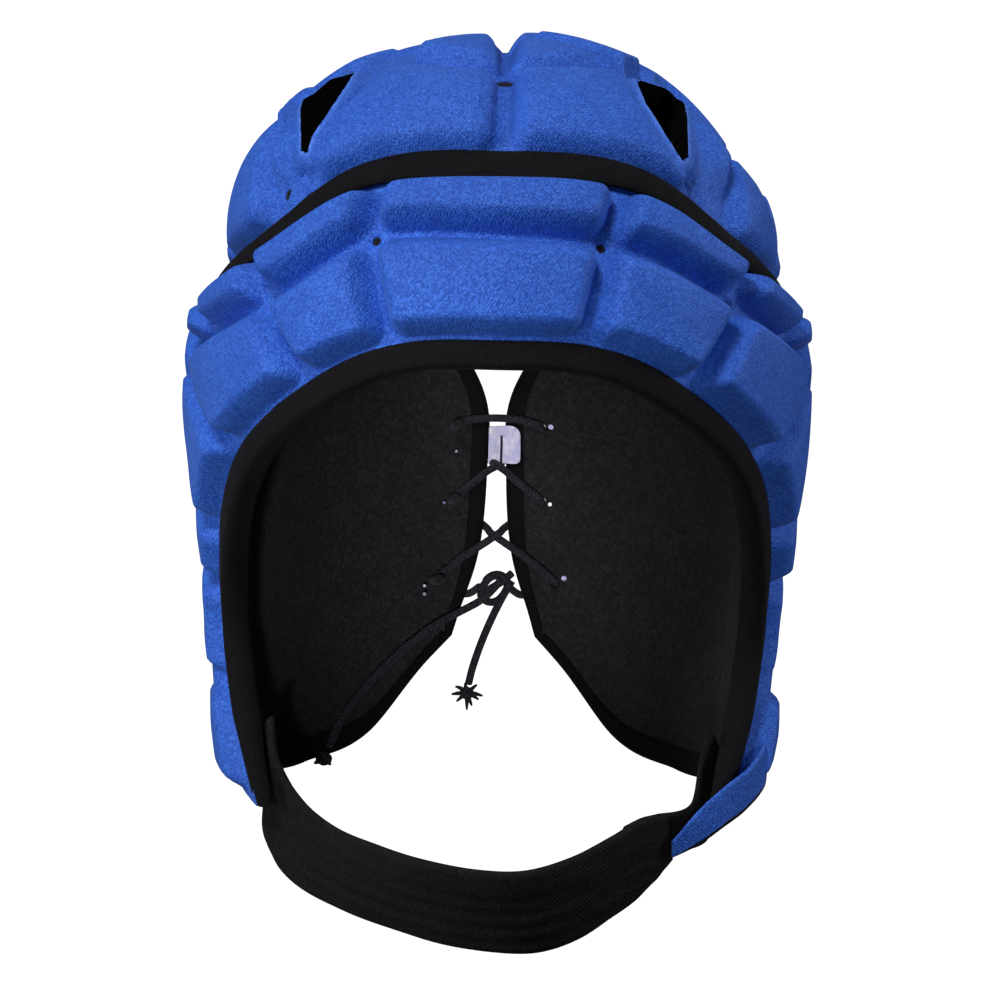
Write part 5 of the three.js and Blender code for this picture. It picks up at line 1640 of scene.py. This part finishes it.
# Care label: a small blank tab with curled edges and a slit, drawn as a dark mark that is painted shade of
# the opening
LABEL_WIDTH = 10.3
LABEL_HEIGHT = 12.3
LABEL_THICK = 0.45
LABEL_CENTRE = (2.3, 85.6, -125.4)
LABEL_TURN = math.radians(6)
LABEL_ACROSS = 49
LABEL_UP = 33
LABEL_BOW = 0.5
LABEL_WAVE = 0.35
LABEL_LUMP_DEPTH = 0.22
LABEL_LUMP_SIZE = 2.4
# Corner radii: left top, left bottom, right top, right bottom
LABEL_CORNERS = (0.5, 0.4, 3.4, 1.7)
SLIT_PLACE = -0.09
SLIT_TOP = 0.22
SLIT_HALF = 0.42


def corner_trim(inset, radius):
    return radius - math.sqrt(max(radius ** 2 - max(radius - inset, 0.0) ** 2, 0.0))


def label_sections():
    sections = []
    slit = []
    for across in np.linspace(-0.5, 0.5, LABEL_ACROSS):
        ring = []
        corners = LABEL_CORNERS[:2] if across < 0 else LABEL_CORNERS[2:]
        inset = (0.5 - abs(across)) * LABEL_WIDTH
        top = 0.5 * LABEL_HEIGHT - corner_trim(inset, corners[0])
        bottom = -0.5 * LABEL_HEIGHT + corner_trim(inset, corners[1])
        for face in (1, -1):
            heights = np.linspace(0, 1, LABEL_UP)
            for up in heights if face > 0 else heights[::-1]:
                x = across * LABEL_WIDTH
                z = bottom + up * (top - bottom)
                curl = LABEL_BOW * math.cos(2.2 * math.pi * across)
                curl -= LABEL_WAVE * math.sin(3 * up + 2 * across)
                lump = lumps(np.array([x, 0, z]), LABEL_LUMP_SIZE, SEEDS["label"])
                curl += LABEL_LUMP_DEPTH * float(lump)
                y = curl - 0.5 * face * LABEL_THICK
                ring.append((
                    LABEL_CENTRE[0] + x * math.cos(LABEL_TURN) - y * math.sin(LABEL_TURN),
                    LABEL_CENTRE[1] + x * math.sin(LABEL_TURN) + y * math.cos(LABEL_TURN),
                    LABEL_CENTRE[2] + z,
                ))
                beside = abs(across - SLIT_PLACE) * LABEL_WIDTH / SLIT_HALF
                above = max(0.0, z / LABEL_HEIGHT - SLIT_TOP) * LABEL_HEIGHT / SLIT_HALF
                slit.append(math.hypot(beside, above))
        sections.append(ring)
    return np.array(sections), np.array(slit)


sections, slit = label_sections()
label = lofted("care_label_cloth", [sections], [label_cloth], {"hole": slit})
declare(label, "care_label")


# Floor, light and background; the floor glows for the camera alone, as pale as the background
FLOOR_HEIGHT = -0.246
FLOOR_HALF = 14.0
FLOOR_BASE = (0.1, 0.1, 0.1, 1)
FLOOR_GLOW = 1.05
WORLD_STRENGTH = 0.045
bpy.ops.object.select_all(action="DESELECT")
bpy.ops.mesh.primitive_plane_add(size=2 * FLOOR_HALF, location=(0, 0, FLOOR_HEIGHT))
floor = bpy.context.object
floor.name = "floor"
bpy.ops.object.transform_apply(location=True, rotation=True, scale=True)
floor_material = bpy.data.materials.new("pale floor")
floor_material.use_nodes = True
floor_tree = floor_material.node_tree
floor_shader = floor_tree.nodes["Principled BSDF"]
set_input(floor_shader, "Base Color", FLOOR_BASE)
set_input(floor_shader, "Roughness", 0.9)
floor_glow = add_node(floor_tree, "ShaderNodeEmission")
set_input(floor_glow, "Strength", FLOOR_GLOW)
ray = add_node(floor_tree, "ShaderNodeLightPath")
dark = add_node(floor_tree, "ShaderNodeEmission")
set_input(dark, "Strength", 0.0)
pick_glow = add_node(floor_tree, "ShaderNodeMixShader")
floor_tree.links.new(ray.outputs["Is Camera Ray"], pick_glow.inputs[0])
floor_tree.links.new(dark.outputs[0], pick_glow.inputs[1])
floor_tree.links.new(floor_glow.outputs[0], pick_glow.inputs[2])
floor_sum = add_node(floor_tree, "ShaderNodeAddShader")
floor_tree.links.new(floor_shader.outputs[0], floor_sum.inputs[0])
floor_tree.links.new(pick_glow.outputs[0], floor_sum.inputs[1])
floor_tree.links.new(floor_sum.outputs[0], floor_tree.nodes["Material Output"].inputs["Surface"])
floor.data.materials.append(floor_material)

# Soft lights: name, place, size, power in watts and tint
SOFT_LIGHTS = [
    ("key light", (-0.6, -1.15, 1.35), 0.5, 25.0, (1, 0.98, 0.96)),
    ("front light", (-0.3, -1.8, 0.2), 0.5, 1.5, (1, 0.99, 0.98)),
    ("left light", (-1.6, -0.7, 0.3), 0.5, 14.0, (1, 0.99, 0.98)),
    ("right light", (1.5, 0.0, 0.5), 0.5, 11.0, (0.96, 0.98, 1)),
    ("top light", (0.0, 0.3, 1.6), 0.8, 4.5, (1, 1, 1)),
]
LIGHT_AIM = (0, 0, -0.11)
# Narrow light on the lining seen through the face opening
INNER_PLACE = (-0.06, -1.2, -0.05)
INNER_AIM = (0, 0.08, -0.142)
INNER_POWER = 38.0
INNER_SPREAD = math.radians(10.5)
INNER_SIZE = 0.03


def add_light(name, kind, place, target, power):
    data = bpy.data.lights.new(name, kind)
    data.energy = power
    lamp = bpy.data.objects.new(name, data)
    bpy.context.scene.collection.objects.link(lamp)
    aim = (Vector(target) - Vector(place)).normalized()
    turn = aim.to_track_quat("-Z", "Y").to_matrix().to_4x4()
    lamp.matrix_world = Matrix.Translation(Vector(place)) @ turn
    return data


for name, place, size, power, tint in SOFT_LIGHTS:
    soft = add_light(name, "AREA", place, LIGHT_AIM, power)
    soft.shape = "DISK"
    soft.size = size
    soft.color = tint
inner = add_light("inner light", "SPOT", INNER_PLACE, INNER_AIM, INNER_POWER)
inner.spot_size = INNER_SPREAD
inner.spot_blend = 1.0
inner.shadow_soft_size = INNER_SIZE

world = bpy.data.worlds.new("studio")
bpy.context.scene.world = world
world.use_nodes = True
background = world.node_tree.nodes["Background"]
background.inputs["Color"].default_value = (1, 1, 1, 1)
background.inputs["Strength"].default_value = WORLD_STRENGTH
bpy.context.scene.view_settings.view_transform = "Standard"
